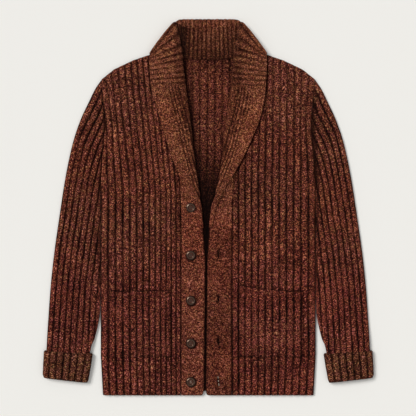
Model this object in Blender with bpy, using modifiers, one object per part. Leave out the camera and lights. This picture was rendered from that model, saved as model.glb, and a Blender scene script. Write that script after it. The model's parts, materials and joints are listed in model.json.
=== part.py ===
"""Ribbed shawl-collar cardigan, lying flat on its back, front up, as it is sewn.

Sizes are in millimetres and MM turns them into metres where a mesh is made.
X runs across the garment from its centre front, Y runs up from the hem towards the collar
and Z is the height above the surface that it lies on. SIDE_RIGHT and SIDE_LEFT are the
wearer's sides. At the end everything moves so that the origin is the middle of the underside.
"""

import math
from collections import namedtuple

import bmesh
import bpy
from mathutils import Vector

MM = 0.001
SIDE_RIGHT = -1
SIDE_LEFT = 1

# Heights above the hem, and half widths from the middle of the back.
HEM_BAND = 81.0
NECK_START = 395.0
NECK_POINT = 717.0
COLLAR_TOP = 788.0
BREAK = 352.0
BODY_HALF = 226.0
HEM_HALF = 221.5
BACK_RAISED = 9.0

# Cloth: wall, rib relief and the gap left at each seam.
WALL = 3.0
RIB = 1.5
GAP = 0.3
BACK_RIB = 1.2
BACK_RIB_PITCH = 15.75
BACK_RIB_MIDDLE = -1.6
BACK_RIBS_EACH_WAY = 4
FRONT_UNDER = 4.7
BAND_WALL = 3.5
EDGE_REACH = 16.0
EDGE_UNDER = 1.4
EDGE_TOP = 2.6

# Ribs of each front, and how far its middle ribs are shifted because they widen to the side.
FRONT_RIBS = {SIDE_RIGHT: 13, SIDE_LEFT: 12}
RIB_DRIFT = {SIDE_RIGHT: 0.9, SIDE_LEFT: 0.25}
RIB_PROFILE = [(0.0, 0.0), (0.28, 1.0), (0.72, 1.0)]

# Where the rows of points lie on each panel, as parts of its length.
FRONT_ROWS = [0.0, 0.02, 0.2, 0.45, 0.7, 0.88, 0.96, 0.985, 1.0]
BACK_ROWS_UP = [0.0, 0.3, 0.6, 0.85, 0.95, 0.985, 1.0]
POCKET_ROWS = [0.0, 0.03, 0.5, 0.97, 1.0]
HEM_ROLL = 3.0
HEM_EDGE_DROP = 1.4
HEM_SEAM_DROP = 1.0

ShoulderPoint = namedtuple("ShoulderPoint", "out up")
SHOULDER = [
    ShoulderPoint(74.0, 717.0),
    ShoulderPoint(124.0, 715.5),
    ShoulderPoint(158.0, 704.0),
    ShoulderPoint(198.0, 685.0),
    ShoulderPoint(226.0, 664.0),
]
NECK_OUT = SHOULDER[0].out
BACK_NECK_DIP = 6.0

# Where each front is sewn to its band, and the two edges of the slit between the bands.
BAND_SEAM = {SIDE_RIGHT: -57.2, SIDE_LEFT: 49.9}
SlitRow = namedtuple("SlitRow", "up right_edge left_edge")
SLIT = [
    SlitRow(0.0, -13.0, -1.4),
    SlitRow(3.5, -10.4, -4.0),
    SlitRow(10.0, -9.2, -5.0),
    SlitRow(200.0, -6.9, -2.7),
    SlitRow(285.0, -6.6, -2.0),
    SlitRow(BREAK, -11.2, 2.6),
]

# Patch pockets, by the columns of the front that they cover, and the height of the mouth.
PocketCut = namedtuple("PocketCut", "first_column last_column mouth_inner mouth_outer")
POCKETS = {
    SIDE_RIGHT: PocketCut(6, 35, 219.0, 218.0),
    SIDE_LEFT: PocketCut(3, 31, 231.0, 217.5),
}
POCKET_BOTTOM = HEM_BAND + 1.0
POCKET_WALL = 2.6
POCKET_RIM = 0.55

# Buttons on the wearer's right, buttonholes opposite.
BUTTON_OUT = -36.6
BUTTON_UPS = [29.0, 110.0, 199.5, 294.5, 394.4]
BUTTON_RADIUS = 10.0
BUTTON_SIDES = 20
BUTTON_PROFILE = [
    (0.0, 2.5), (4.3, 2.6), (5.4, 3.4), (6.5, 4.35), (7.5, 4.6), (8.6, 4.2), (9.6, 3.1),
    (BUTTON_RADIUS, 1.8), (9.2, 0.5), (8.0, 0.0), (0.0, 0.0),
]
THREAD_HOLES = 4
THREAD_HOLE_RADIUS = 0.95
THREAD_HOLE_RING = 2.2
HOLE_UPS = [30.5, 114.5, 203.7, 297.0, 394.4]
HOLE_OUT = 20.5
HOLE_LENGTH = 20.0
HOLE_WIDTH = 1.3
CUTTER_DEPTH = 12.0
SLOT_DEPTH = 8.0

# Collar: neck seam, roll and free edge of each station, from the break up to the shoulder.
LapelRow = namedtuple("LapelRow", "neck_up roll_out roll_up edge_out edge_up")
CollarRow = namedtuple("CollarRow", "neck_out neck_up roll_out roll_up edge_out edge_up")
LAPELS = {
    SIDE_RIGHT: [
        LapelRow(352.3, 11.4, 352.3, 17.0, 354.0),
        LapelRow(392.0, 15.0, 392.0, 25.0, 397.0),
        LapelRow(437.0, 21.0, 437.0, 51.5, 440.0),
        LapelRow(494.0, 28.5, 492.0, 75.0, 497.0),
        LapelRow(558.0, 36.0, 560.0, 93.0, 553.0),
        LapelRow(606.0, 42.5, 612.0, 108.5, 608.0),
        LapelRow(648.0, 47.5, 648.0, 119.5, 646.0),
        LapelRow(682.0, 53.0, 690.0, 122.0, 680.0),
        LapelRow(704.0, 56.0, 727.0, 123.0, 704.0),
    ],
    SIDE_LEFT: [
        LapelRow(352.3, 2.6, 352.3, 8.0, 355.0),
        LapelRow(392.0, 7.4, 392.0, 17.0, 397.0),
        LapelRow(432.0, 19.0, 434.0, 36.0, 436.0),
        LapelRow(494.0, 29.0, 492.0, 70.0, 493.0),
        LapelRow(556.0, 36.0, 556.0, 99.0, 556.0),
        LapelRow(604.0, 42.5, 608.0, 114.0, 600.0),
        LapelRow(646.0, 47.8, 646.0, 120.0, 643.0),
        LapelRow(682.0, 53.0, 690.0, 122.5, 680.0),
        LapelRow(704.0, 56.0, 727.0, 123.0, 704.0),
    ],
}
# At each side the fall turns round the stand, from over it (90 degrees) to under it (-90).
SideRow = namedtuple("SideRow", "degrees edge_out edge_up")
SIDE_NECK_AND_ROLL = (73.6, 719.5, 67.0, 782.0)
SIDE_FOLD = [
    SideRow(90.0, 122.4, 713.5),
    SideRow(45.0, 121.8, 717.5),
    SideRow(0.0, 118.8, 720.6),
    SideRow(-45.0, 116.0, 722.0),
    SideRow(-90.0, 113.0, 723.0),
]
BACK_ROWS = [
    CollarRow(60.0, 712.5, 56.5, 787.5, 98.0, 724.0),
    CollarRow(45.0, 708.5, 38.0, COLLAR_TOP, 72.0, 722.5),
    CollarRow(22.0, 706.0, 18.5, COLLAR_TOP, 36.0, 722.0),
    CollarRow(0.0, 705.5, 0.0, COLLAR_TOP, 0.0, 722.0),
]
LAPEL_STAND_Z = 6.3
LAPEL_FALL_Z = 11.8
FRONT_STAND_Z = 9.4
FRONT_FALL_Z = 13.6
BACK_STAND_Z = 5.6
BACK_FALL_Z = 1.5
COLLAR_RIB = 1.4
SIDE_BOW = 2.6
ROLL_RADIUS = 2.0
ROLL_BEFORE = 1.6
ROLL_AFTER = 1.2
FALL_PARTS = (0.38, 0.7)

# Sleeves: one row for each ring, outer edge and inner edge of the flattened tube.
SleeveRow = namedtuple("SleeveRow", "outer_out outer_up inner_out inner_up lift")
SLEEVE = [
    SleeveRow(226.6, 663.5, 226.6, 437.0, 0.0),
    SleeveRow(241.0, 643.0, 226.6, 425.0, 0.0),
    SleeveRow(254.5, 614.0, 226.6, 411.0, 0.0),
    SleeveRow(270.0, 576.0, 226.6, 392.0, 0.0),
    SleeveRow(283.0, 538.0, 226.6, 370.0, 0.0),
    SleeveRow(294.0, 492.0, 226.6, 344.0, 0.0),
    SleeveRow(303.0, 444.0, 226.6, 316.0, 0.0),
    SleeveRow(313.0, 378.0, 226.6, 278.0, 0.0),
    SleeveRow(323.5, 305.0, 226.6, 230.0, 0.0),
    SleeveRow(331.5, 232.0, 227.6, 178.0, 0.0),
    SleeveRow(337.0, 154.0, 237.5, 124.0, 0.6),
    SleeveRow(339.5, 106.0, 246.5, 99.0, 3.4),
    SleeveRow(342.5, 50.0, 256.5, 40.0, 3.4),
]
SLEEVE_RIBS = 9
SLEEVE_HEIGHT = 8.6
SLEEVE_SLIT = 1.2
UNDER_POINTS = 6

CuffRow = namedtuple("CuffRow", "outer_out outer_up inner_out inner_up")
CUFF = [
    CuffRow(345.5, 94.0, 242.5, 87.5),
    CuffRow(347.0, 68.0, 246.5, 60.0),
    CuffRow(348.0, 44.0, 251.5, 33.0),
]
CuffRing = namedtuple("CuffRing", "row inset tall base relief")
CUFF_FOLD = 6.5
CUFF_RIBS = 7
CUFF_WALL = 3.0
CUFF_EDGE = 2.0

MATERIALS = {
    "ribbed_wool": ((0.105, 0.030, 0.018), 0.92),
    "smooth_wool": ((0.150, 0.052, 0.030), 0.90),
    "horn": ((0.045, 0.030, 0.024), 0.28),
}


def clear_scene():
    """Remove whatever the scene holds."""
    for obj in list(bpy.data.objects):
        bpy.data.objects.remove(obj, do_unlink=True)


def new_collection(name):
    """Return a new collection linked to the scene."""
    collection = bpy.data.collections.new(name)
    bpy.context.scene.collection.children.link(collection)
    return collection


def make_material(name, finish):
    """Return a Principled material with the colour and roughness of the named finish."""
    colour, roughness = MATERIALS[finish]
    material = bpy.data.materials.new(name)
    material.use_nodes = True
    shader = material.node_tree.nodes["Principled BSDF"]
    shader.inputs["Base Color"].default_value = (*colour, 1.0)
    shader.inputs["Roughness"].default_value = roughness
    shader.inputs["Metallic"].default_value = 0.0
    material.diffuse_color = (*colour, 1.0)
    return material


def finish_object(name, mesh, collection, finish):
    """Link a mesh as a named object with a material of its own."""
    obj = bpy.data.objects.new(name, mesh)
    collection.objects.link(obj)
    mesh.materials.append(make_material(name + "_material", finish))
    return obj


def between(start, end, part):
    """Return the value at the given part of the way from start to end."""
    return start + (end - start) * part


def along(rows, key, value, wanted):
    """Read the wanted column of a table at a value of its key column, straight between rows."""
    first = rows[0]
    for row in rows[1:]:
        low = getattr(first, key)
        high = getattr(row, key)
        if value <= high or row is rows[-1]:
            part = min(max((value - low) / (high - low), 0.0), 1.0)
            return between(getattr(first, wanted), getattr(row, wanted), part)
        first = row
    return getattr(first, wanted)


def shell(name, faces_up, faces_down, collection, finish, round_trip=False):
    """Close two matching grids of points into one wall and return its object.

    faces_up and faces_down are lists of rows. With round_trip the rows are rings.
    """
    mesh_data = bmesh.new()
    top = [[mesh_data.verts.new(p * MM) for p in row] for row in faces_up]
    low = [[mesh_data.verts.new(p * MM) for p in row] for row in faces_down]
    across = len(top[0])
    steps = range(across) if round_trip else range(across - 1)
    for j in range(len(top) - 1):
        for i in steps:
            n = (i + 1) % across
            mesh_data.faces.new((top[j][i], top[j][n], top[j + 1][n], top[j + 1][i]))
            mesh_data.faces.new((low[j][i], low[j + 1][i], low[j + 1][n], low[j][n]))
    for i in steps:
        n = (i + 1) % across
        mesh_data.faces.new((top[0][n], top[0][i], low[0][i], low[0][n]))
        mesh_data.faces.new((top[-1][i], top[-1][n], low[-1][n], low[-1][i]))
    if not round_trip:
        for j in range(len(top) - 1):
            mesh_data.faces.new((top[j][0], top[j + 1][0], low[j + 1][0], low[j][0]))
            mesh_data.faces.new((top[j + 1][-1], top[j][-1], low[j][-1], low[j + 1][-1]))
    bmesh.ops.recalc_face_normals(mesh_data, faces=mesh_data.faces)
    if mesh_data.calc_volume(signed=True) < 0.0:
        bmesh.ops.reverse_faces(mesh_data, faces=mesh_data.faces)
    mesh = bpy.data.meshes.new(name)
    mesh_data.to_mesh(mesh)
    mesh_data.free()
    return finish_object(name, mesh, collection, finish)


def rib_columns(count, drift=0.0):
    """Return (place from 0 to 1, relief from 0 to 1) across a panel of this many ribs.

    drift is how many ribs the middle of the panel is shifted towards its start.
    """
    columns = []
    for k in range(count):
        for place, high in RIB_PROFILE:
            shift = drift * math.sin(math.pi * (k + place) / count)
            columns.append(((k + place - shift) / count, high))
    return columns + [(1.0, 0.0)]


def front_columns(side):
    """Return the rib columns of one front."""
    return rib_columns(FRONT_RIBS[side], RIB_DRIFT[side])


def shoulder_up(out):
    """Return the height of the shoulder seam at this half width."""
    return along(SHOULDER, "out", abs(out), "up")


def edge_fall(distance):
    """Return how far an edge has turned down, 1 at the edge and 0 past its reach."""
    return (1.0 - min(max(distance / EDGE_REACH, 0.0), 1.0)) ** 2


def side_half(up):
    """Return the half width of the body at a height: it draws in a little at the hem."""
    return between(HEM_HALF, BODY_HALF, min(up / HEM_BAND, 1.0))


def front_top_up(side, out):
    """Return where a front's column ends: on the neck seam or on the shoulder."""
    seam = abs(BAND_SEAM[side])
    if out >= NECK_OUT:
        return shoulder_up(out)
    return between(NECK_START, NECK_POINT, (out - seam) / (NECK_OUT - seam))


def neck_seam_out(side, up):
    """Return how far out a front's neck seam runs at a height."""
    part = max(0.0, (up - NECK_START) / (NECK_POINT - NECK_START))
    return between(abs(BAND_SEAM[side]), NECK_OUT, part)


def front_points(side, ups):
    """Return the front's outer and inner grids for rows given as functions of the column."""
    seam = abs(BAND_SEAM[side])
    outer = []
    inner = []
    for up_of in ups:
        outer_row = []
        inner_row = []
        for place, high in front_columns(side):
            up = up_of(between(seam, BODY_HALF, place))
            out = between(seam, side_half(up), place)
            turn = edge_fall(side_half(up) - out)
            if out > NECK_OUT - 1.0:
                turn = max(turn, edge_fall(shoulder_up(out) - up))
            under = FRONT_UNDER - EDGE_UNDER * turn
            over = FRONT_UNDER + WALL - EDGE_TOP * turn + RIB * high * (1.0 - 0.5 * turn)
            outer_row.append(Vector((side * out, up, over)))
            inner_row.append(Vector((side * out, up, under)))
        outer.append(outer_row)
        inner.append(inner_row)
    return outer, inner


def make_front(side, name, collection):
    """Build one ribbed front, from the hem band's seam up to the shoulder and neck seams."""
    bottom = HEM_BAND + GAP

    def row(part):
        return lambda out: between(bottom, front_top_up(side, out), part)

    outer, inner = front_points(side, [row(part) for part in FRONT_ROWS])
    return shell(name, outer, inner, collection, "ribbed_wool")


def make_front_hem(side, name, collection):
    """Build the hem band below one front, its ribs in line with the front's."""
    ups = [0.0, HEM_ROLL, HEM_BAND - HEM_ROLL, HEM_BAND]
    outer, inner = front_points(side, [lambda out, up=up: up for up in ups])
    for row, drop in ((outer[0], HEM_EDGE_DROP), (outer[-1], HEM_SEAM_DROP)):
        for point in row:
            point.z -= drop
    return shell(name, outer, inner, collection, "ribbed_wool")


def make_pocket(side, name, collection):
    """Build a patch pocket from the front's own points, moved out."""
    pocket = POCKETS[side]
    seam = abs(BAND_SEAM[side])
    columns = front_columns(side)
    inner_out = between(seam, BODY_HALF, columns[pocket.first_column][0])
    outer_out = between(seam, BODY_HALF, columns[pocket.last_column][0])

    def mouth(out):
        part = (outer_out - out) / (outer_out - inner_out)
        return between(pocket.mouth_outer, pocket.mouth_inner, part ** 2)

    rows = [lambda out, p=p: between(POCKET_BOTTOM, mouth(out), p) for p in POCKET_ROWS]
    under, _ = front_points(side, rows)
    chosen = slice(pocket.first_column, pocket.last_column + 1)
    lows = [[p + Vector((0.0, 0.0, GAP)) for p in row[chosen]] for row in under]
    highs = []
    for part, row in zip(POCKET_ROWS, lows):
        rim = POCKET_RIM if part in (0.0, 1.0) else 1.0
        high = [p + Vector((0.0, 0.0, POCKET_WALL * rim)) for p in row]
        for i in (0, -1):
            high[i].z = row[i].z + POCKET_WALL * POCKET_RIM
        highs.append(high)
    return shell(name, highs, lows, collection, "ribbed_wool")


def back_columns():
    """Return (offset from the middle, relief) across the back, ribbed where the fronts part."""
    reach = BACK_RIBS_EACH_WAY * BACK_RIB_PITCH
    columns = [(-BODY_HALF, 0.0), (-190.0, 0.0), (-124.0, 0.0), (-NECK_OUT, 0.0)]
    for k in range(-BACK_RIBS_EACH_WAY, BACK_RIBS_EACH_WAY):
        start = BACK_RIB_MIDDLE + k * BACK_RIB_PITCH
        for place, high in RIB_PROFILE:
            columns.append((start + place * BACK_RIB_PITCH, high))
    columns.append((BACK_RIB_MIDDLE + reach, 0.0))
    return columns + [(NECK_OUT, 0.0), (124.0, 0.0), (190.0, 0.0), (BODY_HALF, 0.0)]


def back_top_up(out):
    """Return where a column of the back ends: on the shoulder, or on the dipped neck seam."""
    if abs(out) >= NECK_OUT:
        return shoulder_up(out)
    return NECK_POINT - BACK_NECK_DIP * math.cos(0.5 * math.pi * out / NECK_OUT)


def back_points(ups):
    """Return the back's upper and lower grids for rows given as functions of the column."""
    upper = []
    lower = []
    for up_of in ups:
        upper_row = []
        lower_row = []
        for offset, high in back_columns():
            up = up_of(offset)
            out = offset * side_half(up) / BODY_HALF
            fade = min(max((back_top_up(offset) - up - 4.0) / 24.0, 0.0), 1.0)
            upper_row.append(Vector((out, up, WALL + BACK_RIB * high * fade)))
            lower_row.append(Vector((out, up, 0.0)))
        upper.append(upper_row)
        lower.append(lower_row)
    return upper, lower


def make_back(name, collection):
    """Build the back: flat below, ribbed above where it shows between the fronts."""
    bottom = HEM_BAND + GAP
    rows = [lambda x, p=p: between(bottom, back_top_up(x), p) for p in BACK_ROWS_UP]
    upper, lower = back_points(rows)
    return shell(name, upper, lower, collection, "ribbed_wool")


def make_back_hem(name, collection):
    """Build the back's hem band, which hangs a little shorter than the fronts."""
    upper, lower = back_points([lambda x, up=up: up for up in (BACK_RAISED, HEM_BAND)])
    return shell(name, upper, lower, collection, "ribbed_wool")


def make_band(side, name, collection):
    """Build one plain front band, from its seam to the slit."""
    column = "right_edge" if side == SIDE_RIGHT else "left_edge"
    seam = BAND_SEAM[side] - side * GAP
    thick = [(0.0, 0.78), (0.12, 1.0), (0.5, 1.03), (0.86, 1.0), (1.0, 0.7)]
    upper = []
    lower = []
    for row in SLIT:
        edge = getattr(row, column)
        rim = 0.75 if row is SLIT[0] else 1.0
        upper.append([
            Vector((between(seam, edge, place), row.up, FRONT_UNDER + BAND_WALL * high * rim))
            for place, high in thick
        ])
        lower.append([
            Vector((between(seam, edge, place), row.up, FRONT_UNDER)) for place, _ in thick
        ])
    return shell(name, upper, lower, collection, "smooth_wool")


def tube_frame(row, side, half_width_in, height, lift):
    """Return a flattened tube's ring as middle, half chord, direction, height and lift."""
    outer = Vector((side * row.outer_out, row.outer_up, 0.0))
    inner = Vector((side * row.inner_out, row.inner_up, 0.0))
    chord = inner - outer
    half = 0.5 * chord.length - half_width_in
    return outer + 0.5 * chord, half, chord.normalized(), height, lift


def flat_tube_points(frame, ribs, relief):
    """Return one ring of a flattened tube: ribs over the top, plain and level underneath."""
    middle, half, direction, height, lift = frame
    points = []
    columns = rib_columns(ribs)
    for place, high in columns:
        across = between(-0.985, 0.985, place)
        rise = (1.0 - abs(across) ** 4) ** 0.5
        z = lift + height * (0.5 + 0.5 * rise) + relief * high * rise
        points.append(middle + direction * (across * half) + Vector((0.0, 0.0, z)))
    points.append(middle + direction * half + Vector((0.0, 0.0, lift + 0.42 * height)))
    for k in range(UNDER_POINTS):
        across = between(0.965, -0.965, k / (UNDER_POINTS - 1))
        points.append(middle + direction * (across * half) + Vector((0.0, 0.0, lift)))
    points.append(middle - direction * half + Vector((0.0, 0.0, lift + 0.42 * height)))
    return points


def make_sleeve(side, name, collection):
    """Build one sleeve as a flattened tube, from the armhole seam into the cuff."""
    outer = []
    inner = []
    for row in SLEEVE:
        body = tube_frame(row, side, 0.0, SLEEVE_HEIGHT - RIB, row.lift)
        slit = tube_frame(row, side, WALL + 1.0, SLEEVE_SLIT, row.lift + WALL)
        outer.append(flat_tube_points(body, SLEEVE_RIBS, RIB))
        inner.append(flat_tube_points(slit, SLEEVE_RIBS, 0.0))
    return shell(name, outer, inner, collection, "ribbed_wool", round_trip=True)


def ring_loop(name, rings, collection, finish):
    """Close a list of rings into one body that runs round both ways, as a folded cuff does."""
    mesh_data = bmesh.new()
    made = [[mesh_data.verts.new(p * MM) for p in ring] for ring in rings]
    around = len(made[0])
    for j, ring in enumerate(made):
        following = made[(j + 1) % len(made)]
        for i in range(around):
            n = (i + 1) % around
            mesh_data.faces.new((ring[i], ring[n], following[n], following[i]))
    bmesh.ops.recalc_face_normals(mesh_data, faces=mesh_data.faces)
    if mesh_data.calc_volume(signed=True) < 0.0:
        bmesh.ops.reverse_faces(mesh_data, faces=mesh_data.faces)
    mesh = bpy.data.meshes.new(name)
    mesh_data.to_mesh(mesh)
    mesh_data.free()
    return finish_object(name, mesh, collection, finish)


def lowered(row, drop):
    """Return a cuff row moved down along the sleeve."""
    return row._replace(outer_up=row.outer_up - drop, inner_up=row.inner_up - drop)


def make_cuff(side, name, collection):
    """Build a turned-back cuff: outer layer, fold, and a return that meets the sleeve's end."""
    sleeve_end = SLEEVE[-1]
    lift = sleeve_end.lift
    height = lift + SLEEVE_HEIGHT + GAP + CUFF_WALL
    nose = lowered(CUFF[-1], CUFF_FOLD)
    butt = lowered(sleeve_end, GAP)
    mouth = lift + WALL
    plan = [
        CuffRing(CUFF[0], 0.6, height - 1.0, 0.0, 1.0),
        CuffRing(lowered(CUFF[0], CUFF_EDGE), 0.0, height, 0.0, 1.0),
        CuffRing(CUFF[1], 0.0, height, 0.0, 1.0),
        CuffRing(CUFF[2], 0.0, height - 0.5, 0.0, 1.0),
        CuffRing(nose, 2.5, height - WALL, 1.0, 0.3),
        CuffRing(nose, 8.0, SLEEVE_SLIT, mouth, 0.0),
        CuffRing(butt, WALL + 1.0, SLEEVE_SLIT, mouth, 0.0),
        CuffRing(butt, -GAP, SLEEVE_HEIGHT + 2.0 * GAP, lift - GAP, 0.0),
        CuffRing(CUFF[0], CUFF_WALL, SLEEVE_HEIGHT + 2.0 * GAP, lift - GAP, 0.0),
    ]
    rings = []
    for ring in plan:
        frame = tube_frame(ring.row, side, ring.inset, ring.tall, ring.base)
        rings.append(flat_tube_points(frame, CUFF_RIBS, RIB * ring.relief))
    return ring_loop(name, rings, collection, "ribbed_wool")


def flat_vector(out, up):
    """Return a point or direction lying level."""
    return Vector((out, up, 0.0))


def collar_path(row, stand_z, fall_z, turn, neck_z=None):
    """Return one station of the collar's middle surface, from neck seam to free edge.

    turn is pi/2 where the fall lies over the stand, 0 where it turns round the side and
    -pi/2 where it lies under the stand. All of it is for the wearer's left, out to +X.
    """
    neck = flat_vector(row.neck_out, row.neck_up)
    roll = flat_vector(row.roll_out, row.roll_up)
    edge = flat_vector(row.edge_out, row.edge_up)
    up_stand = (roll - neck).normalized()
    down_fall = (edge - roll).normalized()
    outward = Vector((up_stand.y, -up_stand.x, 0.0))
    if outward.x < 0.0:
        outward = -outward
    radius = max(abs(fall_z - stand_z) * 0.5, ROLL_RADIUS)
    inset = math.cos(turn)
    spread = (Vector((0.0, 0.0, 1.0)) * math.sin(turn) + outward * inset) * radius
    middle_z = Vector((0.0, 0.0, 0.5 * (stand_z + fall_z)))
    stand = Vector((0.0, 0.0, stand_z))
    fall = Vector((0.0, 0.0, fall_z))
    bulge = down_fall.cross(Vector((0.0, 0.0, 1.0)))
    if bulge.x < 0.0 or bulge.y < 0.0:
        bulge = -bulge
    bow = bulge * SIDE_BOW * max(0.0, inset)
    first_part, second_part = FALL_PARTS
    start = neck + stand
    if neck_z is not None:
        start.z = neck_z
    back_off = min(radius, (edge - roll).length * 0.4)
    return [
        start,
        neck.lerp(roll, 0.5) + stand,
        roll - up_stand * radius * ROLL_BEFORE + middle_z - spread,
        roll + middle_z,
        roll + down_fall * back_off * ROLL_AFTER + middle_z + spread,
        roll.lerp(edge, first_part) + fall + bow,
        roll.lerp(edge, second_part) + fall + bow * 0.8,
        edge + fall,
    ]


def side_fold_paths():
    """Return the stations that carry the collar round each side, from over to under."""
    stand_middle = 0.5 * (FRONT_STAND_Z + BACK_STAND_Z)
    stand_swing = 0.5 * (FRONT_STAND_Z - BACK_STAND_Z)
    fall_middle = 0.5 * (FRONT_FALL_Z + BACK_FALL_Z)
    fall_swing = 0.5 * (FRONT_FALL_Z - BACK_FALL_Z)
    paths = []
    for side_row in SIDE_FOLD:
        turn = math.radians(side_row.degrees)
        path = collar_path(
            CollarRow(*SIDE_NECK_AND_ROLL, side_row.edge_out, side_row.edge_up),
            stand_middle + stand_swing * math.sin(turn),
            fall_middle + fall_swing * math.sin(turn),
            turn,
        )
        for point in path[:3]:
            point.x -= stand_swing * (1.0 - math.cos(turn))
        paths.append(path)
    return paths


def lapel_paths(side):
    """Return the stations of one front half, from the break up to the shoulder."""
    rows = LAPELS[side]
    paths = []
    for i, lapel in enumerate(rows):
        row = CollarRow(neck_seam_out(side, lapel.neck_up) - 2.0 * GAP, *lapel)
        rise = max(0.0, (i - 4) / (len(rows) - 5))
        open_fold = min(1.0, 0.62 + 0.38 * i / 2.0)
        stand = between(LAPEL_STAND_Z, FRONT_STAND_Z, rise)
        fall = between(LAPEL_STAND_Z + (LAPEL_FALL_Z - LAPEL_STAND_Z) * open_fold,
                       FRONT_FALL_Z, rise)
        paths.append(collar_path(row, stand, fall, math.pi / 2.0))
    return paths


def back_paths():
    """Return the stations behind the neck, from the side fold to the middle."""
    return [
        collar_path(row, BACK_STAND_Z, BACK_FALL_Z, -math.pi / 2.0, WALL + GAP + WALL * 0.5)
        for row in BACK_ROWS
    ]


def eased(paths, steps):
    """Add stations between the given ones on a smooth curve through each of their points."""
    full = []
    for j in range(len(paths) - 1):
        before = paths[max(j - 1, 0)]
        after = paths[min(j + 2, len(paths) - 1)]
        for k in range(steps[j]):
            t = k / steps[j]
            station = []
            for p0, p1, p2, p3 in zip(before, paths[j], paths[j + 1], after):
                station.append(0.5 * (
                    2.0 * p1 + (p2 - p0) * t
                    + (2.0 * p0 - 5.0 * p1 + 4.0 * p2 - p3) * t ** 2
                    + (3.0 * p1 - p0 - 3.0 * p2 + p3) * t ** 3
                ))
            full.append(station)
    return full


SMOOTH_STEPS = [2, 2, 2, 2, 2, 2]
RIBBED_STEPS = [4, 4, 6, 1, 1, 1, 1, 2, 2, 2, 2]


def above_floor(point):
    """Keep a point of the collar level with what it lies on, or above it."""
    point.z = max(point.z, 0.0)
    return point


def half_collar(side):
    """Return one half's stations, from the break to just short of the middle of the back."""
    paths = lapel_paths(side) + side_fold_paths() + back_paths()
    stations = eased(paths, SMOOTH_STEPS + RIBBED_STEPS)
    for station in stations:
        for point in station:
            point.x *= side
    return stations


def make_collar(name, collection):
    """Build the collar as one wall: stand, roll and fall, from break to break."""
    right = half_collar(SIDE_RIGHT)
    left = half_collar(SIDE_LEFT)
    middle = back_paths()[-1]
    stations = right + [middle] + left[::-1]
    smooth = sum(SMOOTH_STEPS)
    last = len(stations) - 1
    across = len(middle)
    outer = []
    inner = []
    for j, station in enumerate(stations):
        place = min(j, last - j)
        ribbed = place > smooth and (place - smooth) % 2 == 1
        outer_row = []
        inner_row = []
        for i, point in enumerate(station):
            onward = stations[min(j + 1, last)][i] - stations[max(j - 1, 0)][i]
            outward = station[min(i + 1, across - 1)] - station[max(i - 1, 0)]
            normal = onward.cross(outward).normalized()
            hidden = i >= 4 and point.z < 0.5 * (FRONT_FALL_Z + BACK_FALL_Z)
            relief = COLLAR_RIB if ribbed and not hidden else 0.0
            outer_row.append(above_floor(point + normal * (0.5 * WALL + relief)))
            inner_row.append(above_floor(point - normal * 0.5 * WALL))
        outer.append(outer_row)
        inner.append(inner_row)
    return shell(name, outer, inner, collection, "smooth_wool")


def make_button(name, out, up, base_z, collection):
    """Turn a button with a raised rim and a dished middle."""
    mesh = bpy.data.meshes.new(name)
    points = [Vector((radius, 0.0, high)) * MM for radius, high in BUTTON_PROFILE]
    mesh.from_pydata(points, [(k, k + 1) for k in range(len(points) - 1)], [])
    obj = finish_object(name, mesh, collection, "horn")
    turned = obj.modifiers.new("turned", "SCREW")
    turned.axis = "Z"
    turned.steps = BUTTON_SIDES
    turned.render_steps = BUTTON_SIDES
    turned.use_merge_vertices = True
    turned.merge_threshold = 0.0001
    turned.use_smooth_shade = False
    turned.use_normal_calculate = True
    obj.location = Vector((out, up, base_z)) * MM
    return obj


def cut(obj, cutter):
    """Cut one object from another and leave the cut on as a modifier."""
    modifier = obj.modifiers.new("cut_" + cutter.name, "BOOLEAN")
    modifier.operation = "DIFFERENCE"
    modifier.solver = "EXACT"
    modifier.object = cutter


def make_cutter(name, mesh_data, place, collection):
    """Make a hidden cutter at a place."""
    mesh = bpy.data.meshes.new(name)
    mesh_data.to_mesh(mesh)
    mesh_data.free()
    obj = bpy.data.objects.new(name, mesh)
    obj.location = place * MM
    obj.hide_render = True
    obj.display_type = "WIRE"
    collection.objects.link(obj)
    return obj


def thread_hole_cutter(name, button, collection):
    """Make the cutter of a button's thread holes."""
    mesh_data = bmesh.new()
    for k in range(THREAD_HOLES):
        angle = 2.0 * math.pi * (k + 0.5) / THREAD_HOLES
        made = bmesh.ops.create_cone(
            mesh_data, cap_ends=True, segments=8, radius1=THREAD_HOLE_RADIUS * MM,
            radius2=THREAD_HOLE_RADIUS * MM, depth=CUTTER_DEPTH * MM)
        shift = Vector((math.cos(angle), math.sin(angle), 0.0)) * THREAD_HOLE_RING * MM
        bmesh.ops.translate(mesh_data, vec=shift, verts=made["verts"])
    return make_cutter(name, mesh_data, button.location / MM, collection)


def slot_cutter(name, up, depth, base_z, collection):
    """Make the cutter of one buttonhole."""
    mesh_data = bmesh.new()
    bmesh.ops.create_cube(mesh_data, size=1.0)
    size = Vector((HOLE_WIDTH, HOLE_LENGTH, depth)) * MM
    bmesh.ops.scale(mesh_data, vec=size, verts=mesh_data.verts)
    return make_cutter(name, mesh_data, Vector((HOLE_OUT, up, base_z)), collection)


def underside_middle(objects):
    """Return the middle of the whole underside, which becomes the origin."""
    bpy.context.view_layer.update()
    corners = [
        obj.matrix_world @ vertex.co for obj in objects for vertex in obj.data.vertices
    ]
    lows = [min(corner[axis] for corner in corners) for axis in range(3)]
    highs = [max(corner[axis] for corner in corners) for axis in range(3)]
    return Vector((0.5 * (lows[0] + highs[0]), 0.5 * (lows[1] + highs[1]), lows[2]))


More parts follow.
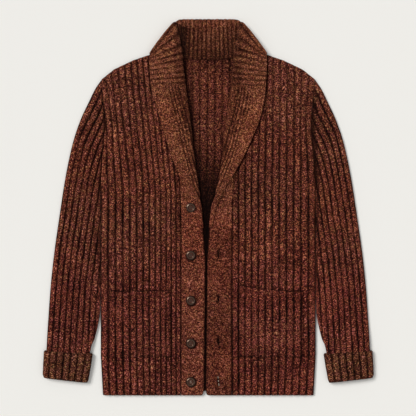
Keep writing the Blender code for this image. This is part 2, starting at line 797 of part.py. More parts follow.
def main():
    """Build the cardigan."""
    clear_scene()
    pieces = new_collection("shawl_collar_cardigan")
    cutters = new_collection("cutters")
    names = {SIDE_RIGHT: "right", SIDE_LEFT: "left"}

    make_back("back", pieces)
    make_back_hem("hem_band_back", pieces)
    for side, word in names.items():
        make_front(side, "front_" + word, pieces)
        make_front_hem(side, "hem_band_front_" + word, pieces)
        make_pocket(side, "pocket_" + word, pieces)
        make_sleeve(side, "sleeve_" + word, pieces)
        make_cuff(side, "cuff_" + word, pieces)
    make_band(SIDE_RIGHT, "button_band", pieces)
    buttonhole_band = make_band(SIDE_LEFT, "buttonhole_band", pieces)
    collar = make_collar("collar", pieces)

    top_of_band = FRONT_UNDER + BAND_WALL * 1.03 + GAP
    top_of_lapel = LAPEL_STAND_Z + 0.5 * WALL + GAP
    for k, (up, hole_up) in enumerate(zip(BUTTON_UPS, HOLE_UPS), 1):
        base = top_of_band if up < BREAK else top_of_lapel
        button = make_button(f"button_{k}", BUTTON_OUT, up, base, pieces)
        cut(button, thread_hole_cutter(f"thread_holes_{k}", button, cutters))
        holed = buttonhole_band if hole_up < BREAK else collar
        cut(holed, slot_cutter(f"buttonhole_{k}", hole_up, SLOT_DEPTH, FRONT_UNDER, cutters))

    everything = list(pieces.objects) + list(cutters.objects)
    shift = underside_middle(list(pieces.objects))
    for obj in everything:
        obj.location = obj.location - shift
    bpy.context.view_layer.update()


main()
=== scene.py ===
"""Ribbed shawl-collar cardigan, laid flat and seen from straight above.

Sizes are in millimetres in the garment's own frame, as in the solids: X from the middle of
the back, Y up from the hem of the fronts, Z up from the surface it lies on. Knitted pieces
are dense shells over the solids' forms, with the ribs and the stitches modelled in.
"""

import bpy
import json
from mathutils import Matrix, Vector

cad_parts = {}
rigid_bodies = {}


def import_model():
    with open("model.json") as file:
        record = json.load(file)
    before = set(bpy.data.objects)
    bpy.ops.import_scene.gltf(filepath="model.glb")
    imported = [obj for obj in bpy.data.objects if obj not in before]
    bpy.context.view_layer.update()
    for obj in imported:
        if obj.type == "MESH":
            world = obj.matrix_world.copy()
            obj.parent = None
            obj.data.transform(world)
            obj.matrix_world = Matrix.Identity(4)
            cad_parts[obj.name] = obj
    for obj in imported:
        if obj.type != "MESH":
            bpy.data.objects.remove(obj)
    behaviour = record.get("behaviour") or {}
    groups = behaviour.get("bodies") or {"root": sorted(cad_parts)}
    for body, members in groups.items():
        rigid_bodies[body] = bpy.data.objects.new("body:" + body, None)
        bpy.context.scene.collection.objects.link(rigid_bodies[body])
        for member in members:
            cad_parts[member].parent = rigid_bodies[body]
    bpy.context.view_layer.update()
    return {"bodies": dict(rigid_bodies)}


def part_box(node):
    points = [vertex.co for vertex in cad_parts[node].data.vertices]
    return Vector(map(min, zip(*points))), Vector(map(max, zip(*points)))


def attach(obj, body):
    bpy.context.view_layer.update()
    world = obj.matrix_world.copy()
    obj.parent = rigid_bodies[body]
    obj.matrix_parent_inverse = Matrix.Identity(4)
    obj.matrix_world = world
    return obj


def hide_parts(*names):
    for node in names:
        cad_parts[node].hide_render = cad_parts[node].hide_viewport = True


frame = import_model()

import json
import logging
import math
from dataclasses import dataclass
from enum import Enum
from typing import Sequence

import bmesh
import bpy
import numpy as np
from mathutils import Matrix, Vector

LOG = logging.getLogger("cardigan")
MM = 0.001
HEM_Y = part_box("hem_band_front_left")[0][1] / MM
BODY = next(iter(frame["bodies"]))


class Side(Enum):
    """The wearer's sides. The value is the sign of X."""

    RIGHT = -1
    LEFT = 1

    @property
    def word(self) -> str:
        """The word that node names use."""
        return self.name.lower()


class Knit(Enum):
    """The two gauges of knitting on the garment."""

    RIBBED = "ribbed_wool"
    FINE = "fine_wool"


# --------------------------------------------------------------------------- sizes

WALL = 3.0
SEAM_GAP = 0.3
STITCH_ROW = 4.7
FINE_ROW = 3.1
FINE_COLUMN = 3.6

# The body's outline. "Out" is a distance from the middle, "up" a height above the hem.
HEM_BAND = 81.0
BODY_HALF = 226.0
HEM_HALF = 221.5
NECK_OUT = 74.0
NECK_POINT = 717.0
NECK_START = 395.0
BREAK = 352.0
SHOULDER_OUT = (74.0, 124.0, 158.0, 198.0, 226.0)
SHOULDER_UP = (717.0, 715.5, 704.0, 685.0, 664.0)
ARMHOLE_OUT = 226.4
ARMHOLE_UP = 572.0
ARMHOLE_DRAW = 9.0
ARMHOLE_REACH = 44.0
ARMHOLE_LENGTH = 72.0

# Where the panels lie, and their ribs.
BACK_RAISED = 9.0
FRONT_UNDER = 4.7
EDGE_REACH = 16.0
BAND_WALL = 3.5
BAND_SEAM = {Side.RIGHT: 57.2, Side.LEFT: 49.9}
FRONT_RIBS = {Side.RIGHT: 13, Side.LEFT: 12}
RIB_DRIFT = {Side.RIGHT: 0.9, Side.LEFT: 0.25}
BACK_RIB_PITCH = 15.75
BACK_RIB_MIDDLE = -1.6

# How open to the light a face without relief is.
PLAIN_LIGHT = 0.6


# --------------------------------------------------------------------------- noise and relief


def bell(distance: np.ndarray, width: float) -> np.ndarray:
    """Return a bell curve of a distance, 1 in the middle."""
    return np.exp(-(distance / width) ** 2)


def unit(value: np.ndarray) -> np.ndarray:
    """Return a value held between 0 and 1."""
    return np.clip(value, 0.0, 1.0)


def hashed(i: np.ndarray, j: np.ndarray, seed: int) -> np.ndarray:
    """Return a repeatable value from 0 to 1 for each lattice point.

    Args:
        i: Lattice column.
        j: Lattice row.
        seed: Which pattern to give.

    Returns:
        Values from 0 to 1, of the inputs' shape.
    """
    mixed = np.sin(i * 127.1 + j * 311.7 + seed * 74.7) * 43758.5453
    return mixed - np.floor(mixed)


def smooth_noise(x: np.ndarray, y: np.ndarray, size: float, seed: int) -> np.ndarray:
    """Return soft value noise from -1 to 1.

    Args:
        x: Places across, in millimetres.
        y: Places along, in millimetres.
        size: Width of one lump, in millimetres.
        seed: Which pattern to give.

    Returns:
        The noise at each place.
    """
    u, v = x / size, y / size
    i, j = np.floor(u), np.floor(v)
    a, b = u - i, v - j
    a, b = a * a * (3.0 - 2.0 * a), b * b * (3.0 - 2.0 * b)
    low = hashed(i, j, seed) * (1.0 - a) + hashed(i + 1, j, seed) * a
    high = hashed(i, j + 1, seed) * (1.0 - a) + hashed(i + 1, j + 1, seed) * a
    return 2.0 * (low * (1.0 - b) + high * b) - 1.0


def knit_relief(phase: np.ndarray, along: np.ndarray, pitch: float, seed: int,
                depth: float = 3.0) -> tuple[np.ndarray, np.ndarray]:
    """Return the height of ribbed knitting, and how open each place is to the light.

    Each rib is two columns of V stitches between narrow troughs.

    Args:
        phase: Place across, in ribs, whole numbers at the troughs.
        along: Place along the ribs, in millimetres.
        pitch: Width of one rib, in millimetres.
        seed: Which unevenness to give.
        depth: Height from trough to crest, in millimetres.

    Returns:
        The height over the middle of the relief, and a mask that is 0 in a trough, 1 on a crest.
    """
    wander = 0.05 * smooth_noise(phase * pitch, along, 46.0, seed)
    phase = phase + wander + 0.025 * smooth_noise(phase * pitch, along, 9.0, seed + 5)
    rib = np.floor(phase)
    place = phase - rib
    crown = 1.0 - np.abs(2.0 * place - 1.0) ** 2.6
    across = (place - 0.5) * pitch
    column = pitch * 0.2
    leg = np.abs(np.abs(across) - column) / (pitch * 0.26)
    row = along / STITCH_ROW + hashed(rib, rib * 0.0, seed) + 0.12 * smooth_noise(
        phase * pitch, along, 17.0, seed + 9)
    chevron = 0.5 + 0.5 * np.cos(2.0 * np.pi * (row - 0.95 * leg))
    middle = bell(across, pitch * 0.055)
    parts = bell(leg, 0.2)
    stitch = (0.75 * chevron + 0.1) * (1.0 - 0.35 * parts) - 0.55 * middle
    uneven = 1.0 + 0.22 * smooth_noise(phase * pitch, along, 31.0, seed + 2)
    height = depth * (crown - 0.55) * uneven + 0.85 * stitch * crown
    each = hashed(np.floor(row - 0.95 * leg), 2.0 * rib + (across > 0.0), seed + 4) - 0.5
    sunk = 0.08 + 0.2 * smooth_noise(phase * pitch, along, 44.0, seed + 11) + 0.12 * smooth_noise(
        phase * pitch, along, 7.0, seed + 12)
    light = sunk + (0.82 - sunk) * crown ** 1.5
    light = light + (0.6 * (stitch - 0.38) + 0.42 * each) * crown
    return height, unit(light)


def fine_relief(across: np.ndarray, along: np.ndarray, seed: int) -> tuple[np.ndarray, np.ndarray]:
    """Return the height of the fine, dense knitting of the collar and bands.

    Args:
        across: Place across the stitches' columns, in millimetres.
        along: Place along them, in millimetres.
        seed: Which unevenness to give.

    Returns:
        The height, and the same mask as knit_relief gives.
    """
    place = across / FINE_COLUMN + 0.1 * smooth_noise(across, along, 12.0, seed)
    leg = np.abs(place - np.floor(place) - 0.5) * 2.0
    row = along / FINE_ROW + 0.25 * smooth_noise(across, along, 8.0, seed + 1)
    chevron = 0.5 + 0.5 * np.cos(2.0 * np.pi * (row - 0.6 * leg))
    lumps = smooth_noise(across, along, 5.0, seed + 2) + smooth_noise(across, along, 2.6, seed + 3)
    height = 0.6 * chevron * (1.0 - leg ** 3) + 0.2 * lumps
    each = hashed(np.floor(row - 0.6 * leg), np.floor(place), seed + 4) - 0.5
    light = 0.67 + (0.6 * (chevron - 0.5) + 0.1) * (1.0 - leg ** 3) + 0.08 * lumps + 0.4 * each
    return height, unit(light)


@dataclass(frozen=True)
class Crease:
    """One soft fold laid into the cloth, in millimetres and degrees."""

    out: float
    up: float
    heading: float
    length: float
    width: float
    rise: float


def creased(x: np.ndarray, y: np.ndarray, creases: Sequence[Crease]) -> np.ndarray:
    """Return how far the creases lift or lower the cloth at each place.

    Args:
        x: Places across the garment.
        y: Places up the garment.
        creases: The folds that reach this cloth.

    Returns:
        Heights in millimetres.
    """
    total = np.zeros_like(x)
    for fold in creases:
        heading = math.radians(fold.heading)
        dx, dy = x - fold.out, y - fold.up
        run = dx * math.cos(heading) + dy * math.sin(heading)
        off = -dx * math.sin(heading) + dy * math.cos(heading)
        off = off + 0.12 * fold.length * (run / fold.length) ** 2
        total += fold.rise * np.exp(-(run / (0.5 * fold.length)) ** 2 - (off / fold.width) ** 2)
    return total


# --------------------------------------------------------------------------- meshes


def drawn_in(points: np.ndarray) -> np.ndarray:
    """Return points with the armhole seams drawn in, cloth and sleeve together.

    Args:
        points: Points in millimetres.

    Returns:
        The moved points.
    """
    near = unit(1.0 - np.abs(np.abs(points[..., 0]) - BODY_HALF) / ARMHOLE_REACH)
    draw = ARMHOLE_DRAW * bell(points[..., 1] - ARMHOLE_UP, ARMHOLE_LENGTH)
    moved = points.copy()
    moved[..., 0] -= np.sign(points[..., 0]) * draw * near ** 2 * (3.0 - 2.0 * near)
    return moved


def coarse(count: int, step: int) -> list[int]:
    """Return every step-th index of a row, with its last."""
    picked = list(range(0, count - 1, step))
    return picked + [count - 1]


def cell(rows: tuple[int, int], cols: tuple[int, int], high: int, wide: int,
         wrap: bool) -> list[tuple[int, int]]:
    """Return the corners of one coarse cell, with the fine points of any rim that it touches.

    Args:
        rows: First and last row of the cell.
        cols: First and last column of the cell.
        high: Rows in the whole grid.
        wide: Columns in the whole grid.
        wrap: True if the columns run round.

    Returns:
        (row, column) pairs in order round the cell.
    """
    (a, b), (c, d) = rows, cols
    low_side = range(c, d) if a == 0 else (c,)
    right_side = range(a, b) if d == wide - 1 and not wrap else (a,)
    top_side = range(d, c, -1) if b == high - 1 else (d,)
    left_side = range(b, a, -1) if c == 0 and not wrap else (b,)
    return ([(a, k) for k in low_side] + [(k, d) for k in right_side]
            + [(b, k) for k in top_side] + [(k, c) for k in left_side])


def wall_faces(high: int, wide: int, wrap: bool, step: int) -> list[list[int]]:
    """Return the faces that close a wall between a fine outer grid and a plain inner one.

    Args:
        high: Rows in each grid.
        wide: Columns in each grid.
        wrap: True if each row is a ring.
        step: How many fine cells one plain cell spans.

    Returns:
        Corners of each face, the outer grid's points first and then the inner one's.
    """
    count = high * wide
    columns = wide if wrap else wide - 1
    faces: list[list[int]] = []
    for base in range(0, count - wide, wide):
        for i in range(columns):
            n = (i + 1) % wide
            faces.append([base + i, base + n, base + wide + n, base + wide + i])
    picked = [(i, min(i + step, wide)) for i in range(0, wide, step)] if wrap else None
    cols = picked or list(zip(coarse(wide, step), coarse(wide, step)[1:]))
    for rows in zip(coarse(high, step), coarse(high, step)[1:]):
        for pair in cols:
            ring = cell(rows, pair, high, wide, wrap)
            faces.append([count + r * wide + (c % wide) for r, c in reversed(ring)])
    top = (high - 1) * wide
    for i in range(columns):
        n = (i + 1) % wide
        faces.append([n, i, count + i, count + n])
        faces.append([top + i, top + n, count + top + n, count + top + i])
    if not wrap:
        for a in range(0, top, wide):
            b, c, d = a + wide, a + wide - 1, a + 2 * wide - 1
            faces.append([a, b, count + b, count + a])
            faces.append([d, c, count + c, count + d])
    return faces


def wall_mesh(name: str, outer: np.ndarray, inner: np.ndarray, openness: np.ndarray,
              wrap: bool = False, step: int = 6, under: np.ndarray | None = None
              ) -> bpy.types.Object:
    """Make one closed wall from a fine outer grid and a plain inner one.

    Args:
        name: Name of the object.
        outer: Rows x columns x 3 points of the face that shows, in millimetres.
        inner: The matching points of the plain face.
        openness: Rows x columns mask from 0 in a trough to 1 on a crest.
        wrap: True if each row is a ring.
        step: How many fine cells one plain cell spans.
        under: The inner face's mask, if it shows.

    Returns:
        The new object, in metres in the row's frame.
    """
    high, wide = outer.shape[:2]
    verts = drawn_in(np.concatenate([outer.reshape(-1, 3), inner.reshape(-1, 3)]))
    verts = (verts + np.array([0.0, HEM_Y, 0.0])) * MM
    mesh = bpy.data.meshes.new(name)
    mesh.from_pydata(verts.tolist(), [], wall_faces(high, wide, wrap, step))
    plain = np.full(high * wide, PLAIN_LIGHT) if under is None else under.ravel()
    values = np.concatenate([openness.ravel(), plain]).astype(np.float32)
    mesh.attributes.new("openness", "FLOAT", "POINT").data.foreach_set("value", values)
    build = bmesh.new()
    build.from_mesh(mesh)
    loose = [v for v in build.verts if not v.link_faces]
    bmesh.ops.delete(build, geom=loose, context="VERTS")
    bmesh.ops.recalc_face_normals(build, faces=build.faces)
    if build.calc_volume(signed=True) < 0.0:
        bmesh.ops.reverse_faces(build, faces=build.faces)
    bmesh.ops.triangulate(build, faces=[f for f in build.faces if len(f.verts) > 4])
    build.to_mesh(mesh)
    build.free()
    mesh.shade_smooth()
    obj = bpy.data.objects.new(name, mesh)
    bpy.context.scene.collection.objects.link(obj)
    return obj


def linked(name: str, mesh_data: bmesh.types.BMesh) -> bpy.types.Object:
    """Make a scene object from mesh data, which is freed.

    Args:
        name: Name of the object.
        mesh_data: Its faces, in metres.

    Returns:
        The new object.
    """
    mesh = bpy.data.meshes.new(name)
    mesh_data.to_mesh(mesh)
    mesh_data.free()
    obj = bpy.data.objects.new(name, mesh)
    bpy.context.scene.collection.objects.link(obj)
    return obj


def surface_normals(grid: np.ndarray) -> np.ndarray:
    """Return unit normals of a grid of points, from its own rows and columns."""
    normal = np.cross(np.gradient(grid, axis=0), np.gradient(grid, axis=1))
    return normal / np.maximum(np.linalg.norm(normal, axis=2, keepdims=True), 1e-9)


# --------------------------------------------------------------------------- shader maths


@dataclass(frozen=True)
class Value:
    """A number on a shader socket, which takes part in ordinary arithmetic."""

    shader: "Shader"
    socket: bpy.types.NodeSocket

    def join(self, operation: str, first: object, second: object) -> "Value":
        """Return the Math node's result for two values or numbers."""
        return self.shader.node("ShaderNodeMath", {"operation": operation}, {0: first, 1: second})

    def __add__(self, other: object) -> "Value":
        """Return self + other."""
        return self.join("ADD", self, other)

    def __sub__(self, other: object) -> "Value":
        """Return self - other."""
        return self.join("SUBTRACT", self, other)

    def __rsub__(self, other: object) -> "Value":
        """Return other - self."""
        return self.join("SUBTRACT", other, self)

    def __mul__(self, other: object) -> "Value":
        """Return self * other."""
        return self.join("MULTIPLY", self, other)

    __radd__ = __add__
    __rmul__ = __mul__


class Shader:
    """A material's node tree, with one way of adding a node."""

    def __init__(self, name: str) -> None:
        """Start an empty material.

        Args:
            name: Name of the material.
        """
        self.material = bpy.data.materials.new(name)
        self.material.use_nodes = True
        self.tree = self.material.node_tree
        self.tree.nodes.clear()

    def node(self, kind: str, settings: dict[str, object], inputs: dict[object, object],
             output: object = 0) -> Value:
        """Add one node.

        Args:
            kind: The node's type.
            settings: Its settings, set before its sockets. "stops" fills a colour ramp.
            inputs: Values or links by socket name or number.
            output: The output to return.

        Returns:
            The chosen output.
        """
        made = self.tree.nodes.new(kind)
        for key, value in settings.items():
            if key == "stops":
                self.fill_ramp(made, value)
            else:
                setattr(made, key, value)
        for key, value in inputs.items():
            if isinstance(value, Value):
                self.tree.links.new(value.socket, made.inputs[key])
            else:
                made.inputs[key].default_value = value
        return Value(self, made.outputs[output])

    @staticmethod
    def fill_ramp(made: bpy.types.Node, stops: Sequence[tuple[float, tuple]]) -> None:
        """Give a colour ramp its stops.

        Args:
            made: The ramp node.
            stops: (place, colour) pairs in order.
        """
        ramp = made.color_ramp
        while len(ramp.elements) < len(stops):
            ramp.elements.new(1.0)
        for element, (place, colour) in zip(ramp.elements, stops):
            element.position = place
            element.color = colour

    def mixed(self, part: object, first: object, second: object, blend: str = "MIX") -> Value:
        """Return two colours mixed."""
        return self.node("ShaderNodeMix", {"data_type": "RGBA", "blend_type": blend},
                         {0: part, 6: first, 7: second}, 2)

    def place(self) -> Value:
        """Return the place on the object, in metres."""
        return self.node("ShaderNodeTexCoord", {}, {}, "Object")

    def ramp(self, at: Value, *stops: tuple[float, tuple]) -> Value:
        """Return a colour ramp's colour at a value."""
        return self.node("ShaderNodeValToRGB", {"stops": stops}, {0: at})

    def tint(self, at: Value, *stops: tuple[float, tuple]) -> Value:
        """Return a ramp of colours to multiply by, given without their alpha."""
        return self.ramp(at, *((place, (*colour, 1.0)) for place, colour in stops))

    def bump(self, strength: float, distance: float, height: Value) -> Value:
        """Return the normal that a height gives."""
        return self.node("ShaderNodeBump", {}, {
            "Strength": strength, "Distance": distance, "Height": height})

    def noise(self, where: Value, scale: float, detail: float, rough: float = 0.5) -> Value:
        """Return a noise value for a place."""
        return self.node("ShaderNodeTexNoise", {},
                         {"Vector": where, "Scale": scale, "Detail": detail, "Roughness": rough})

    def finish(self, principled: dict[str, object]) -> bpy.types.Material:
        """Close the material with a Principled shader.

        Args:
            principled: Values or links of its sockets.

        Returns:
            The finished material.
        """
        surface = self.node("ShaderNodeBsdfPrincipled", {}, principled)
        out = self.tree.nodes.new("ShaderNodeOutputMaterial")
        self.tree.links.new(surface.socket, out.inputs["Surface"])
        return self.material


def linear(red: float, green: float, blue: float) -> tuple[float, float, float, float]:
    """Return a screen colour, 0 to 255 each, as the linear colour shaders take.

    Args:
        red: Red, from 0 to 255.
        green: Green, from 0 to 255.
        blue: Blue, from 0 to 255.

    Returns:
        Red, green, blue and alpha, from 0 to 1.
    """
    parts = [v / 255.0 for v in (red, green, blue)]
    made = [p / 12.92 if p <= 0.04045 else ((p + 0.055) / 1.055) ** 2.4 for p in parts]
    return (made[0], made[1], made[2], 1.0)


@dataclass(frozen=True)
class MarlWool:
    """Marled wool: two dark and two rust plies twisted unevenly, with a soft nap.

    Colours are as they look on screen. Sizes are in metres.
    """

    name: str
    shadow: tuple[int, int, int]
    dark: tuple[int, int, int]
    middle: tuple[int, int, int]
    light: tuple[int, int, int]
    fleck: tuple[int, int, int]
    fleck_size: float = 0.0026
    # How strongly the painted shade of the troughs and the painted light of the crests tint the
    # wool.
    trough_shade: float = 0.8
    dye_part: float = 0.9
    redder_below: float = -1.0
    fuzz: float = 0.0004
    patch_size: float = 0.045
    drift_size: float = 0.16
    dye_size: float = 0.0065

    def dress(self) -> bpy.types.Material:
        """Mix the plies and the dye, with painted shade in the troughs and painted light on the
        crests.

        Returns:
            The material of this wool.
        """
        s = Shader(self.name)
        where = s.place()
        warp = s.node("ShaderNodeTexNoise", {},
                      {"Vector": where, "Scale": 260.0, "Detail": 1.0}, "Color")
        bent = s.node("ShaderNodeMix", {"data_type": "VECTOR"}, {0: 0.0016, 4: where, 5: warp}, 1)
        plies = s.noise(bent, 0.9 / self.fleck_size, 1.2)
        twist = s.noise(bent, 2.3 / self.fleck_size, 2.0)
        patch = s.noise(where, 1.0 / self.patch_size, 2.0)
        drift = s.noise(where, 1.0 / self.drift_size, 1.0)
        dye = s.noise(bent, 1.0 / self.dye_size, 2.0, 0.6)
        tone = plies * 0.78 + twist * 0.22 + (patch - 0.5) * 0.1
        colours = (self.shadow, self.dark, self.middle, self.light, self.fleck)
        base = s.ramp(tone, *((stop, linear(*colour)) for stop, colour in zip(
            (0.375, 0.455, 0.52, 0.585, 0.675), colours)))
        dyed = s.tint(dye, (0.36, (0.98, 0.84, 1.2)), (0.47, (0.95, 0.92, 1.12)),
                      (0.54, (1.1, 1.0, 0.9)), (0.64, (0.84, 1.08, 0.94)))
        olive = s.tint(drift, (0.42, (0.82, 0.98, 1.02)), (0.60, (1.14, 0.97, 0.94)))
        up = s.node("ShaderNodeSeparateXYZ", {}, {0: where}, "Y")
        redder = s.tint((self.redder_below - up) * 7.5,
                        (0.0, (1.0, 1.0, 1.0)), (1.0, (0.99, 0.86, 0.96)))
        # Painted shade in the troughs and painted light on the crests, from the openness mask.
        open_part = s.node("ShaderNodeAttribute", {"attribute_name": "openness"}, {}, "Fac")
        shade = s.tint(open_part, (0.0, (0.03, 0.02, 0.018)), (0.3, (0.26, 0.21, 0.19)),
                       (0.62, (0.8, 0.77, 0.75)), (0.95, (1.3, 1.28, 1.26)))
        wool = base
        for part, layer in ((self.dye_part, dyed), (0.28, olive), (1.0, redder),
                            (self.trough_shade, shade)):
            wool = s.mixed(part, wool, layer, "MULTIPLY")
        fibres = s.noise(bent, 1400.0, 3.0, 0.7)
        return s.finish({
            "Base Color": wool, "Roughness": 0.82 + twist * 0.16, "Specular IOR Level": 0.06,
            "Sheen Weight": 0.09, "Sheen Roughness": 0.5, "Sheen Tint": linear(190, 130, 100),
            "Normal": s.bump(0.75, self.fuzz, fibres * 0.55 + plies * 0.45)})


@dataclass(frozen=True)
class HornFinish:
    """Polished dark horn with a reddish dish, painted shade in a dark ring and on the side, and a
    painted highlight on the paler rim.
    """

    name: str = "dark_horn"
    dish: tuple[int, int, int] = (74, 38, 30)
    ring: tuple[int, int, int] = (14, 8, 6)
    rim: tuple[int, int, int] = (60, 44, 36)
    side: tuple[int, int, int] = (28, 17, 13)

    def dress(self) -> bpy.types.Material:
        """Ring the button with its colour, its painted shade and its painted highlight, and grain
        them.

        Returns:
            The material of the buttons.
        """
        s = Shader(self.name)
        where = s.place()
        stretched = s.node("ShaderNodeMapping", {}, {0: where, 3: (1.0, 0.25, 1.0)})
        streak = s.noise(stretched, 420.0, 4.0, 0.6)
        cloud = s.noise(where, 130.0, 2.0)
        high = s.node("ShaderNodeSeparateXYZ", {}, {0: where}, "Z")
        side, ring, dish, rim = (linear(*c) for c in (self.side, self.ring, self.dish, self.rim))
        # Object Z from the back to 5 mm above it runs from 0 to 1.
        # By height: painted shade in the dark ring on the steep inner slope and on the side, a
        # painted highlight on the paler rim, and the horn's own reddish colour in the dish.
        turned = s.ramp(high * 200.0, (0.36, side), (0.48, ring), (0.505, dish), (0.56, dish),
                        (0.62, ring), (0.74, ring), (0.86, rim))
        grained = s.tint(streak * 0.7 + cloud * 0.3,
                         (0.34, (0.62, 0.6, 0.6)), (0.66, (1.25, 1.2, 1.16)))
        return s.finish({
            "Base Color": s.mixed(1.0, turned, grained, "MULTIPLY"),
            "Roughness": 0.14 + cloud * 0.14, "Specular IOR Level": 0.72,
            "Specular Tint": linear(255, 212, 184),
            "Normal": s.bump(0.2, 0.0001, s.noise(where, 1900.0, 2.0))})


@dataclass(frozen=True)
class ThreadFinish:
    """Twisted sewing thread."""

    name: str
    colour: tuple[int, int, int]

    def dress(self) -> bpy.types.Material:
        """Mix the thread from its light and dark plies.

        Returns:
            The material of this thread.
        """
        s = Shader(self.name)
        ply = s.noise(s.place(), 2600.0, 2.0)
        base = s.mixed(ply, linear(*(0.7 * c for c in self.colour)), linear(*self.colour))
        return s.finish({"Base Color": base, "Roughness": 0.75, "Sheen Weight": 0.2,
                         "Normal": s.bump(0.5, 0.0001, ply)})


RIBBED_WOOL = MarlWool("marled_ribbed_wool", (24, 7, 5), (60, 22, 15), (98, 46, 33),
                       (142, 80, 58), (206, 140, 104), fleck_size=0.0021, trough_shade=1.0,
                       redder_below=-0.05)
FINE_WOOL = MarlWool("marled_fine_wool", (34, 11, 7), (76, 34, 22), (108, 57, 39),
                     (146, 86, 58), (204, 142, 102), fleck_size=0.0018, trough_shade=0.96,
                     dye_part=0.6, redder_below=0.085)
CUFF_WOOL = MarlWool("marled_cuff_wool", (24, 8, 5), (60, 26, 17), (94, 50, 33),
                     (134, 82, 57), (196, 140, 104), fleck_size=0.0021, trough_shade=1.0)
HORN = HornFinish()
DARK_THREAD = ThreadFinish("brown_thread", (70, 44, 34))
PALE_THREAD = ThreadFinish("pale_thread", (196, 170, 150))


# --------------------------------------------------------------------------- the cloth's lie


def edge_fall(distance: np.ndarray) -> np.ndarray:
    """Return how far an edge has turned down, 1 at the edge and 0 past its reach."""
    return (1.0 - unit(distance / EDGE_REACH)) ** 2


def side_half(up: np.ndarray) -> np.ndarray:
    """Return the body's half width at each height."""
    return HEM_HALF + (BODY_HALF - HEM_HALF) * np.minimum(up / HEM_BAND, 1.0)


def shoulder_up(out: np.ndarray) -> np.ndarray:
    """Return the height of the shoulder seam at each half width."""
    return np.interp(out, SHOULDER_OUT, SHOULDER_UP)


def grid(columns: np.ndarray, rows: np.ndarray) -> tuple[np.ndarray, np.ndarray]:
    """Return the columns' and the rows' values over a whole grid."""
    return tuple(np.meshgrid(columns, rows))


def stacked(x: np.ndarray, y: np.ndarray, z: np.ndarray) -> np.ndarray:
    """Return rows x columns x 3 points."""
    return np.stack([x, y, z], axis=-1)


def put(obj: bpy.types.Object, finish: bpy.types.Material, node: str) -> None:
    """Dress an object and put it in its solid's place.

    Args:
        obj: The finished mesh object.
        finish: Its material.
        node: The solid's node.
    """
    obj.data.materials.clear()
    obj.data.materials.append(finish)
    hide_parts(node)
    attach(obj, BODY)


@dataclass
class Piece:
    """One knitted piece: its node, its finish and how it was cut and lies."""

    node: str
    finish: bpy.types.Material
    knit: Knit
    flat: tuple[float, float]
    area: float | None = None
    held: str = "laid"
    rests_on: tuple[str, ...] = ()

    def place(self, obj: bpy.types.Object) -> None:
        """Dress a mesh, put it in the solid's place and log its faces.

        Args:
            obj: The finished mesh object.
        """
        put(obj, self.finish, self.node)
        size = tuple(round(v * MM, 4) for v in self.flat)
        LOG.info("%s: %d faces", obj.name, len(obj.data.polygons))


FRONT_CREASES = {
    Side.RIGHT: (
        Crease(-196.0, 470.0, 62.0, 120.0, 11.0, 1.5),
        Crease(-170.0, 440.0, 40.0, 90.0, 10.0, -1.0),
        Crease(-150.0, 640.0, 118.0, 100.0, 13.0, 1.0),
        Crease(-98.0, 330.0, 86.0, 150.0, 12.0, -0.8),
        Crease(-140.0, 150.0, 95.0, 120.0, 18.0, 1.2),
        Crease(-205.0, 250.0, 80.0, 140.0, 10.0, 0.9),
    ),
    Side.LEFT: (
        Crease(198.0, 455.0, 116.0, 110.0, 11.0, 1.4),
        Crease(168.0, 420.0, 136.0, 95.0, 10.0, -1.0),
        Crease(160.0, 630.0, 60.0, 110.0, 12.0, 1.0),
        Crease(90.0, 300.0, 92.0, 150.0, 11.0, -0.7),
        Crease(138.0, 165.0, 84.0, 110.0, 17.0, 1.3),
        Crease(207.0, 260.0, 98.0, 120.0, 10.0, 0.8),
    ),
}


# Each pocket's inner and outer edge, and the height of its mouth at each.
POCKETS = {Side.RIGHT: ((78.2, 205.4), (219.0, 218.0)),
           Side.LEFT: ((64.4, 198.8), (231.0, 217.5))}
# How far the ribs lean in at the shoulder, how much of their troughs' painted shade lifts there,
# and how far and how darkly the collar's fall shades the cloth beside it with painted shadow.
SHOULDER_LEAN = {Side.RIGHT: 27.0, Side.LEFT: 3.0}
SHOULDER_SOFT = {Side.RIGHT: 0.25, Side.LEFT: 0.5}
FALL_SHADE = {Side.RIGHT: (2.0, 0.5), Side.LEFT: (3.6, 0.85)}
LEAN_FROM = 420.0
LEAN_CLIMB = 290.0
SOFT_FROM = 470.0
SOFT_CLIMB = 130.0
SOFT_LIGHT = 0.62


